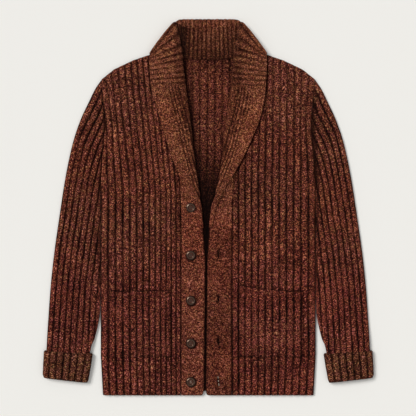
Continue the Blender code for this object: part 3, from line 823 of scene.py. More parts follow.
@dataclass
class FrontPanel:
    """One front: its main panel, the hem band below it and the patch pocket on it."""

    side: Side
    finish: bpy.types.Material
    columns_each_rib: int = 12
    row_step: float = 2.1
    hem_row_step: float = 1.9
    edge_drop: float = 2.4
    under_drop: float = 1.4
    seam_reach: float = 2.2
    seam_drop: float = 0.6
    seam_shade: float = 0.18
    foot_reach: float = 2.4
    foot_drop: float = 2.0
    pocket_column: float = 1.15
    pocket_rows: int = 76
    pocket_lift: float = 1.7
    pocket_relief: float = 2.7
    pocket_wall: float = 2.4
    stitch_inset: float = 3.2
    welt: float = 11.0
    pocket_bottom: float = HEM_BAND + 1.0

    @property
    def seam(self) -> float:
        """How far out the band's seam runs."""
        return BAND_SEAM[self.side]

    @property
    def pitch(self) -> float:
        """Mean width of one rib."""
        return (BODY_HALF - self.seam) / FRONT_RIBS[self.side]

    @property
    def pocket_out(self) -> tuple[float, float]:
        """How far out the pocket's two edges lie."""
        return POCKETS[self.side][0]

    @property
    def mouth(self) -> tuple[float, float]:
        """How high the pocket's mouth is at its inner and outer edge."""
        return POCKETS[self.side][1]

    def rib_at(self, out: np.ndarray, up: np.ndarray) -> np.ndarray:
        """Return the place across in ribs, narrower by the band and leaning to the shoulder.

        Args:
            out: How far out from the middle, in millimetres.
            up: How far up from the hem, in millimetres.

        Returns:
            The place, whole numbers in the troughs.
        """
        climb = unit((up - LEAN_FROM) / LEAN_CLIMB)
        lean = SHOULDER_LEAN[self.side] * climb ** 1.4 * (1.5 - 0.5 * climb)
        part = (out - lean - self.seam) / (side_half(up) - self.seam)
        count, drift = FRONT_RIBS[self.side], RIB_DRIFT[self.side]
        ribs = np.linspace(0.0, count, 160)
        places = (ribs - drift * np.sin(np.pi * ribs / count)) / count
        return np.interp(part, places, ribs) + np.minimum(part, 0.0) * count

    def top_up(self, out: np.ndarray) -> np.ndarray:
        """Return where each column ends, on the neck seam or the shoulder.

        Args:
            out: How far out from the middle, in millimetres.

        Returns:
            Heights above the hem.
        """
        part = (out - self.seam) / (NECK_OUT - self.seam)
        neck = NECK_START + (NECK_POINT - NECK_START) * part
        return np.where(out >= NECK_OUT, shoulder_up(out), neck)

    def levels(self, out: np.ndarray, up: np.ndarray) -> tuple[np.ndarray, ...]:
        """Return the panel's under face, its relief's middle and the relief's strength.

        Args:
            out: How far out from the middle, in millimetres.
            up: How far up from the hem, in millimetres.

        Returns:
            Heights of both faces, and how strongly the ribs stand out.
        """
        half = side_half(up)
        turn = edge_fall(half - out)
        shoulder = np.where(out > NECK_OUT - 1.0, edge_fall(self.top_up(out) - up), 0.0)
        turn = np.maximum(turn, shoulder)
        lift = creased(self.side.value * out, up, FRONT_CREASES[self.side])
        lift = lift * (1.0 - turn) + 0.35 * smooth_noise(out, up, 60.0, 3) * (1.0 - turn)
        under = FRONT_UNDER - self.under_drop * turn + np.maximum(lift, 0.0)
        over = FRONT_UNDER + WALL - self.edge_drop * turn + lift
        return under, over, 1.0 - 0.45 * turn

    def cloth(self, out: np.ndarray, up: np.ndarray, seed: int) -> tuple[np.ndarray, ...]:
        """Return outer points, inner points and openness over a grid of places.

        Args:
            out: How far out from the middle, in millimetres.
            up: How far up from the hem, in millimetres.
            seed: Which unevenness to give.

        Returns:
            Two grids of points and a mask.
        """
        under, over, strength = self.levels(out, up)
        relief, openness = knit_relief(self.rib_at(out, up), up, self.pitch, seed)
        soft = SHOULDER_SOFT[self.side] * unit((up - SOFT_FROM) / SOFT_CLIMB)
        openness = openness + soft * (SOFT_LIGHT - openness) * (openness < SOFT_LIGHT)
        x = self.side.value * out
        outer = stacked(x, up, np.maximum(over + relief * strength, under + 0.9))
        return outer, stacked(x, up, under), openness

    def mouth_up(self, out: np.ndarray) -> np.ndarray:
        """Return the height of the pocket's mouth at each place across.

        Args:
            out: How far out from the middle, in millimetres.

        Returns:
            Heights above the hem.
        """
        low, high = self.pocket_out
        inner_mouth, outer_mouth = self.mouth
        part = unit((high - out) / (high - low))
        return outer_mouth + (inner_mouth - outer_mouth) * part ** 2

    def pocket_shade(self, out: np.ndarray, up: np.ndarray) -> np.ndarray:
        """Return how much light the pocket leaves on the front round it, 1 for all of it.

        Args:
            out: How far out from the middle, in millimetres.
            up: How far up from the hem, in millimetres.

        Returns:
            Shares of the light.
        """
        low, high = self.pocket_out
        beside = np.maximum(np.maximum(low - out, out - high), self.pocket_bottom - up)
        above = up - self.mouth_up(out)
        reach = np.maximum(beside, 0.0)
        wide = bell(reach, 1.8) * (above < 0.0)
        over = bell(np.maximum(above, 0.0), 3.4) * (above >= 0.0) * bell(reach, 2.0)
        return 1.0 - 0.6 * wide - 0.72 * over

    def fall_shade(self, out: np.ndarray, up: np.ndarray) -> np.ndarray:
        """Return how much light the collar's fall leaves on the front beside its edge.

        Args:
            out: How far out from the middle, in millimetres.
            up: How far up from the hem, in millimetres.

        Returns:
            Shares of the light.
        """
        edges = LAPEL_ROWS[self.side]
        past = out - np.interp(up, edges[:, 4], edges[:, 3])
        reach, dark = FALL_SHADE[self.side]
        tall = unit((up - NECK_START) / 50.0)
        return 1.0 - dark * tall * bell(np.maximum(past, 0.0), reach)

    def places(self, ups: np.ndarray) -> tuple[np.ndarray, np.ndarray]:
        """Return the columns' half widths for rows of the given heights.

        Args:
            ups: Heights of the rows.

        Returns:
            How far out and how far up each place of the grid lies.
        """
        parts = np.linspace(0.0, 1.0, FRONT_RIBS[self.side] * self.columns_each_rib + 1)
        part, up = grid(parts, ups)
        return self.seam + (side_half(up) - self.seam) * part, up

    def main_panel(self) -> bpy.types.Object:
        """Build the front above the hem band.

        Returns:
            The mesh object.
        """
        bottom = HEM_BAND + SEAM_GAP
        rows = int((NECK_POINT - bottom) / self.row_step)
        parts = np.linspace(0.0, 1.0, rows)
        out, part = self.places(parts)
        out = self.seam + (BODY_HALF - self.seam) * (out - self.seam) / (
            side_half(part) - self.seam)
        up = bottom + (self.top_up(out) - bottom) * part
        outer, inner, openness = self.cloth(out, up, 11 + self.side.value)
        near = bell(up - bottom, self.seam_reach)
        outer[..., 2] -= self.seam_drop * near
        openness = openness * (1.0 - self.seam_shade * near) * self.pocket_shade(out, up)
        openness = openness * self.fall_shade(out, up)
        return wall_mesh(f"front_{self.side.word}_knit", outer, inner, openness)

    def hem_band(self) -> bpy.types.Object:
        """Build the hem band, its ribs in line with the front's.

        Returns:
            The mesh object.
        """
        out, up = self.places(np.linspace(0.0, HEM_BAND, int(HEM_BAND / self.hem_row_step)))
        outer, inner, openness = self.cloth(out, up, 11 + self.side.value)
        foot, head = bell(up, self.foot_reach), bell(HEM_BAND - up, self.seam_reach)
        outer[..., 2] -= self.foot_drop * foot + self.seam_drop * head
        outer[..., 2] = np.maximum(outer[..., 2], inner[..., 2] + 0.8)
        openness = openness * (1.0 - self.seam_shade * head)
        return wall_mesh(f"hem_{self.side.word}_knit", outer, inner, openness)

    def pocket(self) -> bpy.types.Object:
        """Build the patch pocket from the front's own places, moved out.

        Returns:
            The mesh object.
        """
        low, high = self.pocket_out
        out, part = grid(np.linspace(low, high, int((high - low) / self.pocket_column)),
                         np.linspace(0.0, 1.0, self.pocket_rows))
        mouth = self.mouth_up(out)
        up = self.pocket_bottom + (mouth - self.pocket_bottom) * part
        up = up + 0.7 * smooth_noise(out, up, 22.0, 31)
        edge = np.minimum(out - low, high - out)
        wavy = out + 0.6 * smooth_noise(up, out, 25.0, 37) * bell(edge, 6.0)
        relief, openness = knit_relief(self.rib_at(wavy, up), up, self.pitch,
                                       23 + self.side.value, self.pocket_relief)
        top_edge, bottom_edge = mouth - up, up - self.pocket_bottom
        round_off = bell(np.minimum(np.minimum(edge, top_edge), bottom_edge), 1.5)
        sewn = bell(edge - self.stitch_inset, 1.1) + bell(bottom_edge - self.stitch_inset, 1.1)
        welt = bell(top_edge - self.welt, 1.3)
        bulge = 1.1 * np.sin(np.pi * part) * np.sin(np.pi * (out - low) / (high - low))
        base = FRONT_UNDER + WALL + self.pocket_lift
        over = base + self.pocket_wall - 1.6 * round_off - 0.5 * sewn - 0.5 * welt + bulge
        x = self.side.value * wavy
        outer = stacked(x, up, np.maximum(over + relief * (0.85 - 0.4 * round_off), base + 0.5))
        inner = stacked(x, up, np.full_like(x, base))
        openness = openness * (1.0 - 0.35 * unit(sewn + welt))
        band = 0.55 * bell(np.maximum(top_edge - self.welt + 2.0, 0.0), 3.0)
        openness = openness * (1.0 - band) + band * (SOFT_LIGHT + 0.3 * (openness - 0.5))
        return wall_mesh(f"pocket_{self.side.word}_knit", outer, inner, openness)

    def build(self) -> None:
        """Build and dress the front, its hem band and its pocket."""
        word = self.side.word
        width = BODY_HALF - self.seam
        Piece(f"front_{word}", self.finish, Knit.RIBBED, (width, NECK_POINT - HEM_BAND),
              rests_on=("back",)).place(self.main_panel())
        Piece(f"hem_band_front_{word}", self.finish, Knit.RIBBED, (width, HEM_BAND),
              rests_on=("hem_band_back",)).place(self.hem_band())
        low, high = self.pocket_out
        Piece(f"pocket_{word}", self.finish, Knit.RIBBED,
              (high - low, self.mouth[0] - self.pocket_bottom),
              rests_on=(f"front_{word}",)).place(self.pocket())


@dataclass
class Back:
    """The back and its hem band: flat below, and ribbed above between the fronts."""

    finish: bpy.types.Material
    ribbed_half: float = 78.0
    neck_dip: float = 6.0
    column_step: float = 1.3
    rows: int = 270
    hem_rows: int = 30
    relief: float = 2.2
    # How much light reaches the back between the fronts, by height.
    light_up: tuple[float, ...] = (0.0, 385.0, 440.0, 520.0, 650.0, 717.0)
    light: tuple[float, ...] = (0.0, 0.0, 0.16, 0.7, 0.84, 0.52)
    roll_shadow: float = 9.0

    def columns(self) -> np.ndarray:
        """Return the columns' offsets, close together where the ribs show.

        Returns:
            Offsets from the middle, in millimetres.
        """
        fine = np.arange(-self.ribbed_half, self.ribbed_half + 0.1, self.column_step)
        side = np.linspace(self.ribbed_half + 8.0, BODY_HALF, 16)
        return np.concatenate([-side[::-1], fine, side])

    def top_up(self, offset: np.ndarray) -> np.ndarray:
        """Return where each column ends.

        Args:
            offset: Offsets from the middle, in millimetres.

        Returns:
            Heights above the hem.
        """
        out = np.abs(offset)
        neck = NECK_POINT - self.neck_dip * np.cos(0.5 * np.pi * out / NECK_OUT)
        return np.where(out >= NECK_OUT, shoulder_up(out), neck)

    def cloth(self, offset: np.ndarray, up: np.ndarray) -> tuple[np.ndarray, ...]:
        """Return outer points, inner points and openness over a grid of places.

        Args:
            offset: Offsets from the middle, in millimetres.
            up: How far up from the hem, in millimetres.

        Returns:
            Two grids of points and a mask.
        """
        x = offset * side_half(up) / BODY_HALF
        phase = (offset - BACK_RIB_MIDDLE) / BACK_RIB_PITCH + 40.0
        relief, openness = knit_relief(phase, up, BACK_RIB_PITCH, 5, self.relief)
        show = unit((self.ribbed_half - np.abs(offset)) / 6.0)
        near_neck = unit((self.top_up(offset) - up) / 14.0)
        strength = show * (0.35 + 0.65 * near_neck)
        z = WALL + 0.35 * show * near_neck + relief * strength
        deep = np.interp(up, self.light_up, self.light)
        rolls = LAPEL_ROWS[Side.RIGHT]
        from_roll = x + np.interp(up, rolls[:, 2], rolls[:, 1])
        shadow = bell(np.maximum(from_roll, 0.0), self.roll_shadow)
        tone = (0.62 * openness + 0.36) * deep * (1.0 - 0.8 * shadow)
        return stacked(x, up, z), stacked(x, up, np.zeros_like(x)), tone

    def build(self) -> None:
        """Build and dress the back and its hem band."""
        bottom = HEM_BAND + SEAM_GAP
        offset, part = grid(self.columns(), np.linspace(0.0, 1.0, self.rows))
        back = offset, bottom + (self.top_up(offset) - bottom) * part
        hem = grid(self.columns(), np.linspace(BACK_RAISED, HEM_BAND, self.hem_rows))
        for node, name, places, length in (
                ("back", "back_knit", back, NECK_POINT - bottom),
                ("hem_band_back", "hem_back_knit", hem, HEM_BAND - BACK_RAISED)):
            Piece(node, self.finish, Knit.RIBBED, (2.0 * BODY_HALF, length),
                  rests_on=("floor",)).place(wall_mesh(name, *self.cloth(*places)))


def steepness(before: np.ndarray, after: np.ndarray) -> np.ndarray:
    """Return the slope at a row, held so that the curve never swings past a row.

    Args:
        before: Move from the row before.
        after: Move to the row after.

    Returns:
        The slope, in the same measure as the moves.
    """
    least = 3.0 * np.minimum(np.abs(before), np.abs(after))
    slope = np.clip(0.5 * (before + after), -least, least)
    return np.where(before * after > 0.0, slope, 0.0)


def eased(keys: np.ndarray, steps: Sequence[int]) -> np.ndarray:
    """Return rows on a smooth curve through the given rows.

    Args:
        keys: Rows x anything, the rows to pass through.
        steps: How many rows to make from each row to the next.

    Returns:
        The longer set of rows, with the last key row.
    """
    moves = np.diff(keys, axis=0)
    moves = np.concatenate([moves[:1], moves, moves[-1:]])
    made = []
    for j, count in enumerate(steps):
        start = steepness(moves[j], moves[j + 1])
        end = steepness(moves[j + 1], moves[j + 2])
        for k in range(count):
            t = k / count
            made.append(keys[j] + (3.0 - 2.0 * t) * t ** 2 * moves[j + 1]
                        + t * (1.0 - t) ** 2 * start - t ** 2 * (1.0 - t) * end)
    return np.array(made + [keys[-1]])


def travelled(points: np.ndarray, axis: int) -> np.ndarray:
    """Return how far each point lies along its line of points, in millimetres.

    Args:
        points: Points in millimetres.
        axis: Which way the lines of points run.

    Returns:
        Distances from the first point of each line.
    """
    steps = np.linalg.norm(np.diff(points, axis=axis), axis=-1)
    start = np.zeros_like(np.take(steps, [0], axis=axis))
    return np.concatenate([start, np.cumsum(steps, axis=axis)], axis=axis)


# Where the slit's edges run: heights, and how far out each edge is there.
EDGE_UPS = (0.0, 3.5, 10.0, 200.0, 285.0, BREAK)
BAND_EDGES = {Side.RIGHT: (13.0, 10.4, 9.2, 6.9, 6.6, 11.2),
              Side.LEFT: (-1.4, -4.0, -5.0, -2.7, -2.0, 2.6)}
BAND_TOP = 8.6
LAPEL_TOP = 8.1
BUTTON_OUT = 36.6
BUTTON_UPS = (29.0, 110.0, 199.5, 294.5, 394.4)
BAND_WIDTH = {Side.RIGHT: 50.2, Side.LEFT: 47.0}
BAND_SHADE = {Side.RIGHT: 0.02, Side.LEFT: 0.2}
HOLE_OUT = 21.3
HOLE_UPS = (30.5, 114.5, 203.7, 297.0)
HOLE_LENGTH = 18.0
HOLE_WIDTH = 4.6
SLOT_DEPTH = 2.6
# Out, up, length and tilt in degrees.
PALE_STITCHES = ((20.8, 38.2, 5.6, 4.0), (21.6, 30.6, 4.6, 8.0), (22.4, 23.0, 6.4, 10.0))


def button_shade(out: np.ndarray, up: np.ndarray) -> np.ndarray:
    """Return how much light the buttons leave on the cloth round them.

    Args:
        out: How far out from the middle, in millimetres.
        up: How far up from the hem, in millimetres.

    Returns:
        Shares of the light.
    """
    left = np.ones_like(out)
    for button in BUTTON_UPS:
        reach = np.hypot(out - BUTTON_OUT + 1.2, up - button + 1.3)
        left = left * (1.0 - 0.42 * (1.0 - np.tanh((reach - 11.4) * 1.1)))
    return left


@dataclass
class FrontBand:
    """One plain front band of fine knitting, from its seam to the slit."""

    side: Side
    finish: bpy.types.Material
    thread: bpy.types.Material
    columns: int = 62
    rim_columns: tuple[float, ...] = (0.006, 0.013, 0.987, 0.994)
    row_step: float = 1.1
    edge_round: float = 1.7
    edge_drop: float = 1.9
    foot_round: float = 2.0
    foot_drop: float = 1.1

    def surface(self) -> tuple[np.ndarray, ...]:
        """Return outer points, inner points and openness.

        Returns:
            Two grids of points and a mask.
        """
        places = np.sort(np.concatenate([
            np.linspace(0.0, 1.0, self.columns), self.rim_columns]))
        place, up = grid(places, np.linspace(0.0, BREAK + 0.4, int(BREAK / self.row_step)))
        seam = BAND_SEAM[self.side] - SEAM_GAP
        edge = np.interp(up, EDGE_UPS, BAND_EDGES[self.side]) * np.ones_like(place)
        out = seam + (edge - seam) * place
        width = seam - edge
        from_edge, from_seam = (1.0 - place) * width, place * width
        fine, openness = fine_relief(out, up, 41 + self.side.value)
        rounding = bell(np.minimum(from_edge, from_seam), self.edge_round)
        ridge = 0.35 * bell(from_edge - 4.0, 1.6)
        foot = bell(up, self.foot_round)
        over = FRONT_UNDER + BAND_WALL - 0.35 + ridge + 0.75 * fine
        over += 0.35 * smooth_noise(out, up, 34.0, 43)
        over -= self.edge_drop * rounding + self.foot_drop * foot
        openness = openness * (1.0 - 0.45 * rounding) * (1.0 - 0.2 * foot)
        openness = openness - BAND_SHADE[self.side] - 0.1 * smooth_noise(out, up, 60.0, 44)
        if self.side is Side.LEFT:
            over, openness = self.buttonholes(out, up, over, openness)
        else:
            openness = openness * button_shade(out, up)
        x = self.side.value * out
        under = np.full_like(x, FRONT_UNDER)
        return stacked(x, up, np.maximum(over, under + 0.3)), stacked(x, up, under), openness

    @staticmethod
    def buttonholes(out: np.ndarray, up: np.ndarray, over: np.ndarray,
                    openness: np.ndarray) -> tuple[np.ndarray, np.ndarray]:
        """Work the stitched rims of the buttonholes and sink their slots.

        Args:
            out: Places across the band.
            up: Places along the band.
            over: Heights of the band's top.
            openness: The band's light mask.

        Returns:
            The heights and the mask with the buttonholes in them.
        """
        for hole in HOLE_UPS:
            along = np.maximum(np.abs(up - hole) - 0.5 * HOLE_LENGTH, 0.0)
            reach = np.hypot(out - HOLE_OUT, along)
            rim = bell(reach - 2.3, 1.1)
            bars = 0.5 + 0.5 * np.cos(2.0 * np.pi * up / 1.9)
            spread = unit(1.0 - ((up - hole) / (0.5 * HOLE_LENGTH + 1.0)) ** 2) ** 0.3
            slant = out - HOLE_OUT + 0.05 * (up - hole)
            past = np.abs(slant) - 0.5 * HOLE_WIDTH * spread
            slot = spread * (0.5 - 0.5 * np.tanh(past * 3.0))
            over = over + rim * (0.35 + 0.3 * bars) * (1.0 - slot) - SLOT_DEPTH * slot
            openness = openness * (1.0 - slot) * (1.0 - 0.2 * bell(reach - 4.2, 1.0))
        return over, openness

    @staticmethod
    def pale_stitches() -> bpy.types.Object:
        """Lay the three pale stitches that show down the lowest buttonhole.

        Returns:
            The mesh object.
        """
        mesh_data = bmesh.new()
        for out, up, long, tilt in PALE_STITCHES:
            made = bmesh.ops.create_uvsphere(mesh_data, u_segments=12, v_segments=8, radius=MM)
            turn = Matrix.Rotation(math.radians(tilt), 4, "Z")
            size = Matrix.Diagonal((0.75, 0.5 * long, 0.6, 1.0))
            place = Matrix.Translation(Vector((
                out, up + HEM_Y, FRONT_UNDER + BAND_WALL + 0.6)) * MM)
            bmesh.ops.transform(mesh_data, matrix=place @ turn @ size, verts=made["verts"])
        stitches = linked("buttonhole_thread", mesh_data)
        stitches.data.shade_smooth()
        return stitches

    def build(self) -> None:
        """Build and dress the band."""
        node = "button_band" if self.side is Side.RIGHT else "buttonhole_band"
        Piece(node, self.finish, Knit.FINE, (BAND_WIDTH[self.side], BREAK),
              rests_on=("back", "hem_band_back")).place(
            wall_mesh(f"{node}_knit", *self.surface()))
        if self.side is Side.LEFT:
            put(self.pale_stitches(), self.thread, node)


# Outer edge: out, up. Inner edge: out, up. Lift.
SLEEVE_ROWS = np.array([
    (226.6, 663.5, ARMHOLE_OUT, 437.0, 0.0), (241.0, 643.0, ARMHOLE_OUT, 425.0, 0.0),
    (254.5, 614.0, ARMHOLE_OUT, 411.0, 0.0), (270.0, 576.0, ARMHOLE_OUT, 392.0, 0.0),
    (283.0, 538.0, ARMHOLE_OUT, 370.0, 0.0), (294.0, 492.0, ARMHOLE_OUT, 344.0, 0.0),
    (303.0, 444.0, ARMHOLE_OUT, 316.0, 0.0), (313.0, 378.0, ARMHOLE_OUT, 278.0, 0.0),
    (323.5, 305.0, ARMHOLE_OUT, 230.0, 0.0), (331.5, 232.0, 227.2, 178.0, 0.0),
    (337.0, 154.0, 237.5, 124.0, 0.6), (339.5, 106.0, 246.5, 99.0, 3.4),
    (342.5, 50.0, 256.5, 40.0, 3.4)])
# Outer edge: out, up. Inner edge: out, up.
CUFF_ROWS = np.array([(345.5, 94.0, 242.5, 87.5), (347.0, 68.0, 246.5, 60.0),
                      (348.0, 44.0, 251.5, 33.0)])
# How far and how darkly each sleeve is shaded along its armhole.
VALLEY_SHADE = {Side.RIGHT: (3.6, 0.5), Side.LEFT: (7.0, 0.78)}
SLEEVE_CREASES = (
    Crease(236.0, 505.0, 78.0, 130.0, 10.0, 1.0),
    Crease(262.0, 520.0, 100.0, 150.0, 13.0, -0.9),
    Crease(252.0, 330.0, 160.0, 70.0, 11.0, 1.1),
    Crease(276.0, 300.0, 150.0, 80.0, 12.0, -0.9),
    Crease(300.0, 270.0, 20.0, 70.0, 13.0, 0.8),
    Crease(290.0, 160.0, 95.0, 110.0, 12.0, 0.9),
)


@dataclass
class FlatTube:
    """A tube of knitting lying flat: ribbed above, plain and level below."""

    ribs: int
    pitch: float
    seed: int
    columns_each_rib: int = 13
    under_columns: int = 24

    def ring_places(self) -> tuple[np.ndarray, np.ndarray]:
        """Return places across the ring, -1 to 1 and back, and 1 for above or 0 for below.

        Returns:
            The places and the layers, in order round the ring.
        """
        over = np.linspace(-0.99, 0.99, self.ribs * self.columns_each_rib + 1)
        under = np.linspace(0.965, -0.965, self.under_columns)
        across = np.concatenate([[-1.0], over, [1.0], under])
        above = np.concatenate([[0.5], np.ones_like(over), [0.5], np.zeros_like(under)])
        return across, above

    def ring(self, rows: np.ndarray, side: Side, inset: np.ndarray, tall: np.ndarray,
             base: np.ndarray) -> tuple[np.ndarray, np.ndarray, np.ndarray]:
        """Return plain rings, and how much of the relief each place takes.

        Args:
            rows: Rows of outer out, outer up, inner out, inner up.
            side: Which sleeve.
            inset: How far each ring is drawn in at both edges.
            tall: Height of each ring.
            base: How high each ring's underside lies.

        Returns:
            Rows x columns x 3 points, the relief's share, and the place across in ribs.
        """
        across, above = self.ring_places()
        sign = side.value
        start = np.stack([sign * rows[:, 0], rows[:, 1]], axis=1)
        end = np.stack([sign * rows[:, 2], rows[:, 3]], axis=1)
        chord = end - start
        length = np.linalg.norm(chord, axis=1, keepdims=True)
        direction = chord / length
        half = 0.5 * length[:, 0] - inset
        middle = 0.5 * (start + end)
        plan = middle[:, None, :] + direction[:, None, :] * (half[:, None] * across)[..., None]
        rise = (1.0 - np.abs(across) ** 4) ** 0.5
        edge = unit((np.abs(across) - 0.965) / 0.035)
        profile = np.where(above == 1.0, 0.5 + 0.5 * rise, 0.42 * edge)
        z = base[:, None] + tall[:, None] * profile[None, :]
        share = np.where(above == 1.0, rise, 0.0) * np.ones_like(z)
        phase = (0.5 + 0.5 * across) * self.ribs * np.ones_like(z)
        return np.concatenate([plan, z[..., None]], axis=2), share, phase

    def knitted(self, points: np.ndarray, share: np.ndarray, phase: np.ndarray,
                depth: float) -> tuple[np.ndarray, np.ndarray]:
        """Return how high the ribs stand over plain rings, and their openness.

        Args:
            points: Rows x columns x 3 points of the plain rings.
            share: The relief's share at each place.
            phase: Place across in ribs.
            depth: Height from trough to crest, in millimetres.

        Returns:
            Heights in millimetres and a mask.
        """
        along = travelled(points, 0)
        relief, openness = knit_relief(phase, along, self.pitch, self.seed, depth)
        return relief * share, np.where(share > 0.0, openness, 0.55)


@dataclass
class Sleeve:
    """A sleeve and its turned-back cuff."""

    side: Side
    wool: bpy.types.Material
    cuff_wool: bpy.types.Material
    height: float = 8.6
    slit: float = 1.2
    ribs: int = 9
    rib_pitch: float = 12.4
    rib_depth: float = 2.8
    row_step: float = 2.0
    cuff_fold: float = 6.5
    cuff_wall: float = 3.0
    cuff_ribs: int = 7
    cuff_pitch: float = 13.0
    cuff_depth: float = 2.7
    cuff_rows: int = 41
    # Widths and lengths as knitted, all round, and the sleeve's area in square metres.
    cut: tuple[float, float] = (300.0, 600.0)
    cut_area: float = 0.098
    cuff_cut: tuple[float, float] = (206.0, 62.0)

    def lie(self, points: np.ndarray) -> np.ndarray:
        """Return how the creases lift each place of the upper layer.

        Args:
            points: Points of the sleeve, in millimetres.

        Returns:
            Heights in millimetres.
        """
        out = self.side.value * points[..., 0]
        lift = creased(out, points[..., 1] + 9.0 * self.side.value, SLEEVE_CREASES)
        return lift + 0.35 * smooth_noise(points[..., 0], points[..., 1], 55.0, 61)

    def arm(self) -> bpy.types.Object:
        """Build the sleeve from the armhole into the cuff.

        Returns:
            The mesh object.
        """
        gaps = np.hypot(*np.diff(SLEEVE_ROWS[:, :2], axis=0).T)
        rows = eased(SLEEVE_ROWS, [max(2, round(gap / self.row_step)) for gap in gaps])
        tube = FlatTube(self.ribs, self.rib_pitch, seed=51 + self.side.value)
        still, lift = np.zeros(len(rows)), np.maximum(rows[:, 4], 0.0)
        outer, share, _ = tube.ring(rows, self.side, still, still + self.height - 1.5, lift)
        edge = outer[:, 0, :2]
        reach = np.array([np.linalg.norm(row[:, None, :2] - edge[None], axis=2).min(axis=1)
                          for row in outer])
        relief, openness = tube.knitted(outer, share, reach / tube.pitch, self.rib_depth)
        up = outer[..., 1]
        taper = np.clip((up - 96.0) / 12.0, 0.25, 1.0)
        outer[..., 2] += (relief + 0.2) * taper + self.lie(outer) * share * taper * 0.8
        armhole = bell(travelled(outer, 0), 2.5) * share
        outer[..., 2] -= 1.4 * armhole
        wide, dark = VALLEY_SHADE[self.side]
        tall = unit((655.0 - up) / 60.0) * np.clip((up - 180.0) / 160.0, 0.25, 1.0)
        valley = bell(np.abs(outer[..., 0]) - ARMHOLE_OUT, wide) * share * tall
        openness = openness * (1.0 - 0.5 * armhole) * (1.0 - dark * valley)
        inner, _, _ = tube.ring(rows, self.side, still + WALL + 1.0, still + self.slit,
                                lift + WALL)
        return wall_mesh(f"sleeve_{self.side.word}_knit", outer, inner, openness, wrap=True)

    def cuff_section(self, rows: int) -> tuple[np.ndarray, ...]:
        """Return the rows, insets, heights and bases of the cuff's outer and inner layers.

        Args:
            rows: How many rows each layer gets.

        Returns:
            The outer layer and the inner layer, a row for each ring.
        """
        lift = float(SLEEVE_ROWS[-1, 4])
        tall = lift + self.height + SEAM_GAP + self.cuff_wall
        drop = np.array([0.0, 1.0, 0.0, 1.0])
        nose = CUFF_ROWS[-1] - drop * self.cuff_fold
        butt = SLEEVE_ROWS[-1, :4] - drop * SEAM_GAP
        hollow = self.height + 2.0 * SEAM_GAP
        # Where along the cuff, the row there, how far it is drawn in, its height and its base.
        outer = [(0.0, CUFF_ROWS[0], 1.2, tall - 2.0, 0.0),
                 (0.045, CUFF_ROWS[0] - drop * 2.0, 0.0, tall, 0.0),
                 (0.45, CUFF_ROWS[1], 0.0, tall, 0.0), (0.88, CUFF_ROWS[2], 0.0, tall - 0.6, 0.0),
                 (1.0, nose, 2.5, tall - 3.0, 1.0)]
        inner = [(0.0, CUFF_ROWS[0], self.cuff_wall, hollow, lift - SEAM_GAP),
                 (0.6, butt, -SEAM_GAP, hollow, lift - SEAM_GAP),
                 (0.8, butt, WALL + 1.0, self.slit, lift + WALL),
                 (1.0, nose, 8.0, self.slit, lift + WALL)]
        made = []
        for plan in (outer, inner):
            table = np.array([[spot, *row, *sizes] for spot, row, *sizes in plan])
            made.append(np.stack([np.interp(np.linspace(0.0, 1.0, rows), table[:, 0], column)
                                  for column in table[:, 1:].T], axis=1))
        return tuple(made)

    def cuff(self) -> bpy.types.Object:
        """Build the cuff: outer layer, fold, and a return that meets the sleeve's end.

        Returns:
            The mesh object.
        """
        outer_rows, inner_rows = self.cuff_section(self.cuff_rows)
        tube = FlatTube(self.cuff_ribs, self.cuff_pitch, seed=71 + self.side.value)
        outer, share, phase = tube.ring(outer_rows[:, :4], self.side, outer_rows[:, 4],
                                        outer_rows[:, 5] - 0.6, outer_rows[:, 6])
        relief, openness = tube.knitted(outer, share, phase, self.cuff_depth)
        place = np.linspace(0.0, 1.0, len(outer_rows))[:, None]
        ends = bell(place, 0.05) + bell(1.0 - place, 0.05)
        lump = 0.5 * smooth_noise(outer[..., 0], outer[..., 1], 30.0, 77) * share
        outer[..., 2] += relief * (1.0 - 0.6 * ends) + lump * (1.0 - ends)
        openness = openness * (1.0 - 0.3 * ends)
        inner, _, _ = tube.ring(inner_rows[:, :4], self.side, inner_rows[:, 4],
                                inner_rows[:, 5], inner_rows[:, 6])
        return wall_mesh(f"cuff_{self.side.word}_knit", outer, inner, openness, wrap=True)

    def build(self) -> None:
        """Build and dress the sleeve and its cuff."""
        word = self.side.word
        Piece(f"sleeve_{word}", self.wool, Knit.RIBBED, self.cut, area=self.cut_area,
              rests_on=("floor",)).place(self.arm())
        Piece(f"cuff_{word}", self.cuff_wool, Knit.RIBBED, self.cuff_cut, held="folded",
              rests_on=(f"sleeve_{word}",)).place(self.cuff())


# Neck seam: up. Roll: out, up. Free edge: out, up.
LAPEL_ROWS = {
    Side.RIGHT: np.array([
        (352.3, 11.4, 352.3, 17.0, 354.0), (392.0, 15.0, 392.0, 25.0, 397.0),
        (437.0, 21.0, 437.0, 51.5, 440.0), (494.0, 28.5, 492.0, 75.0, 497.0),
        (558.0, 36.0, 560.0, 93.0, 553.0), (606.0, 42.5, 612.0, 108.5, 608.0),
        (648.0, 47.5, 648.0, 119.5, 646.0), (682.0, 53.0, 690.0, 122.0, 680.0),
        (704.0, 56.0, 727.0, 123.0, 704.0)]),
    Side.LEFT: np.array([
        (352.3, 2.6, 352.3, 8.0, 355.0), (392.0, 7.4, 392.0, 17.0, 397.0),
        (432.0, 19.0, 434.0, 36.0, 436.0), (494.0, 29.0, 492.0, 70.0, 493.0),
        (556.0, 36.0, 556.0, 99.0, 556.0), (604.0, 42.5, 608.0, 114.0, 600.0),
        (646.0, 47.8, 646.0, 120.0, 643.0), (682.0, 53.0, 690.0, 122.5, 680.0),
        (704.0, 56.0, 727.0, 123.0, 704.0)]),
}
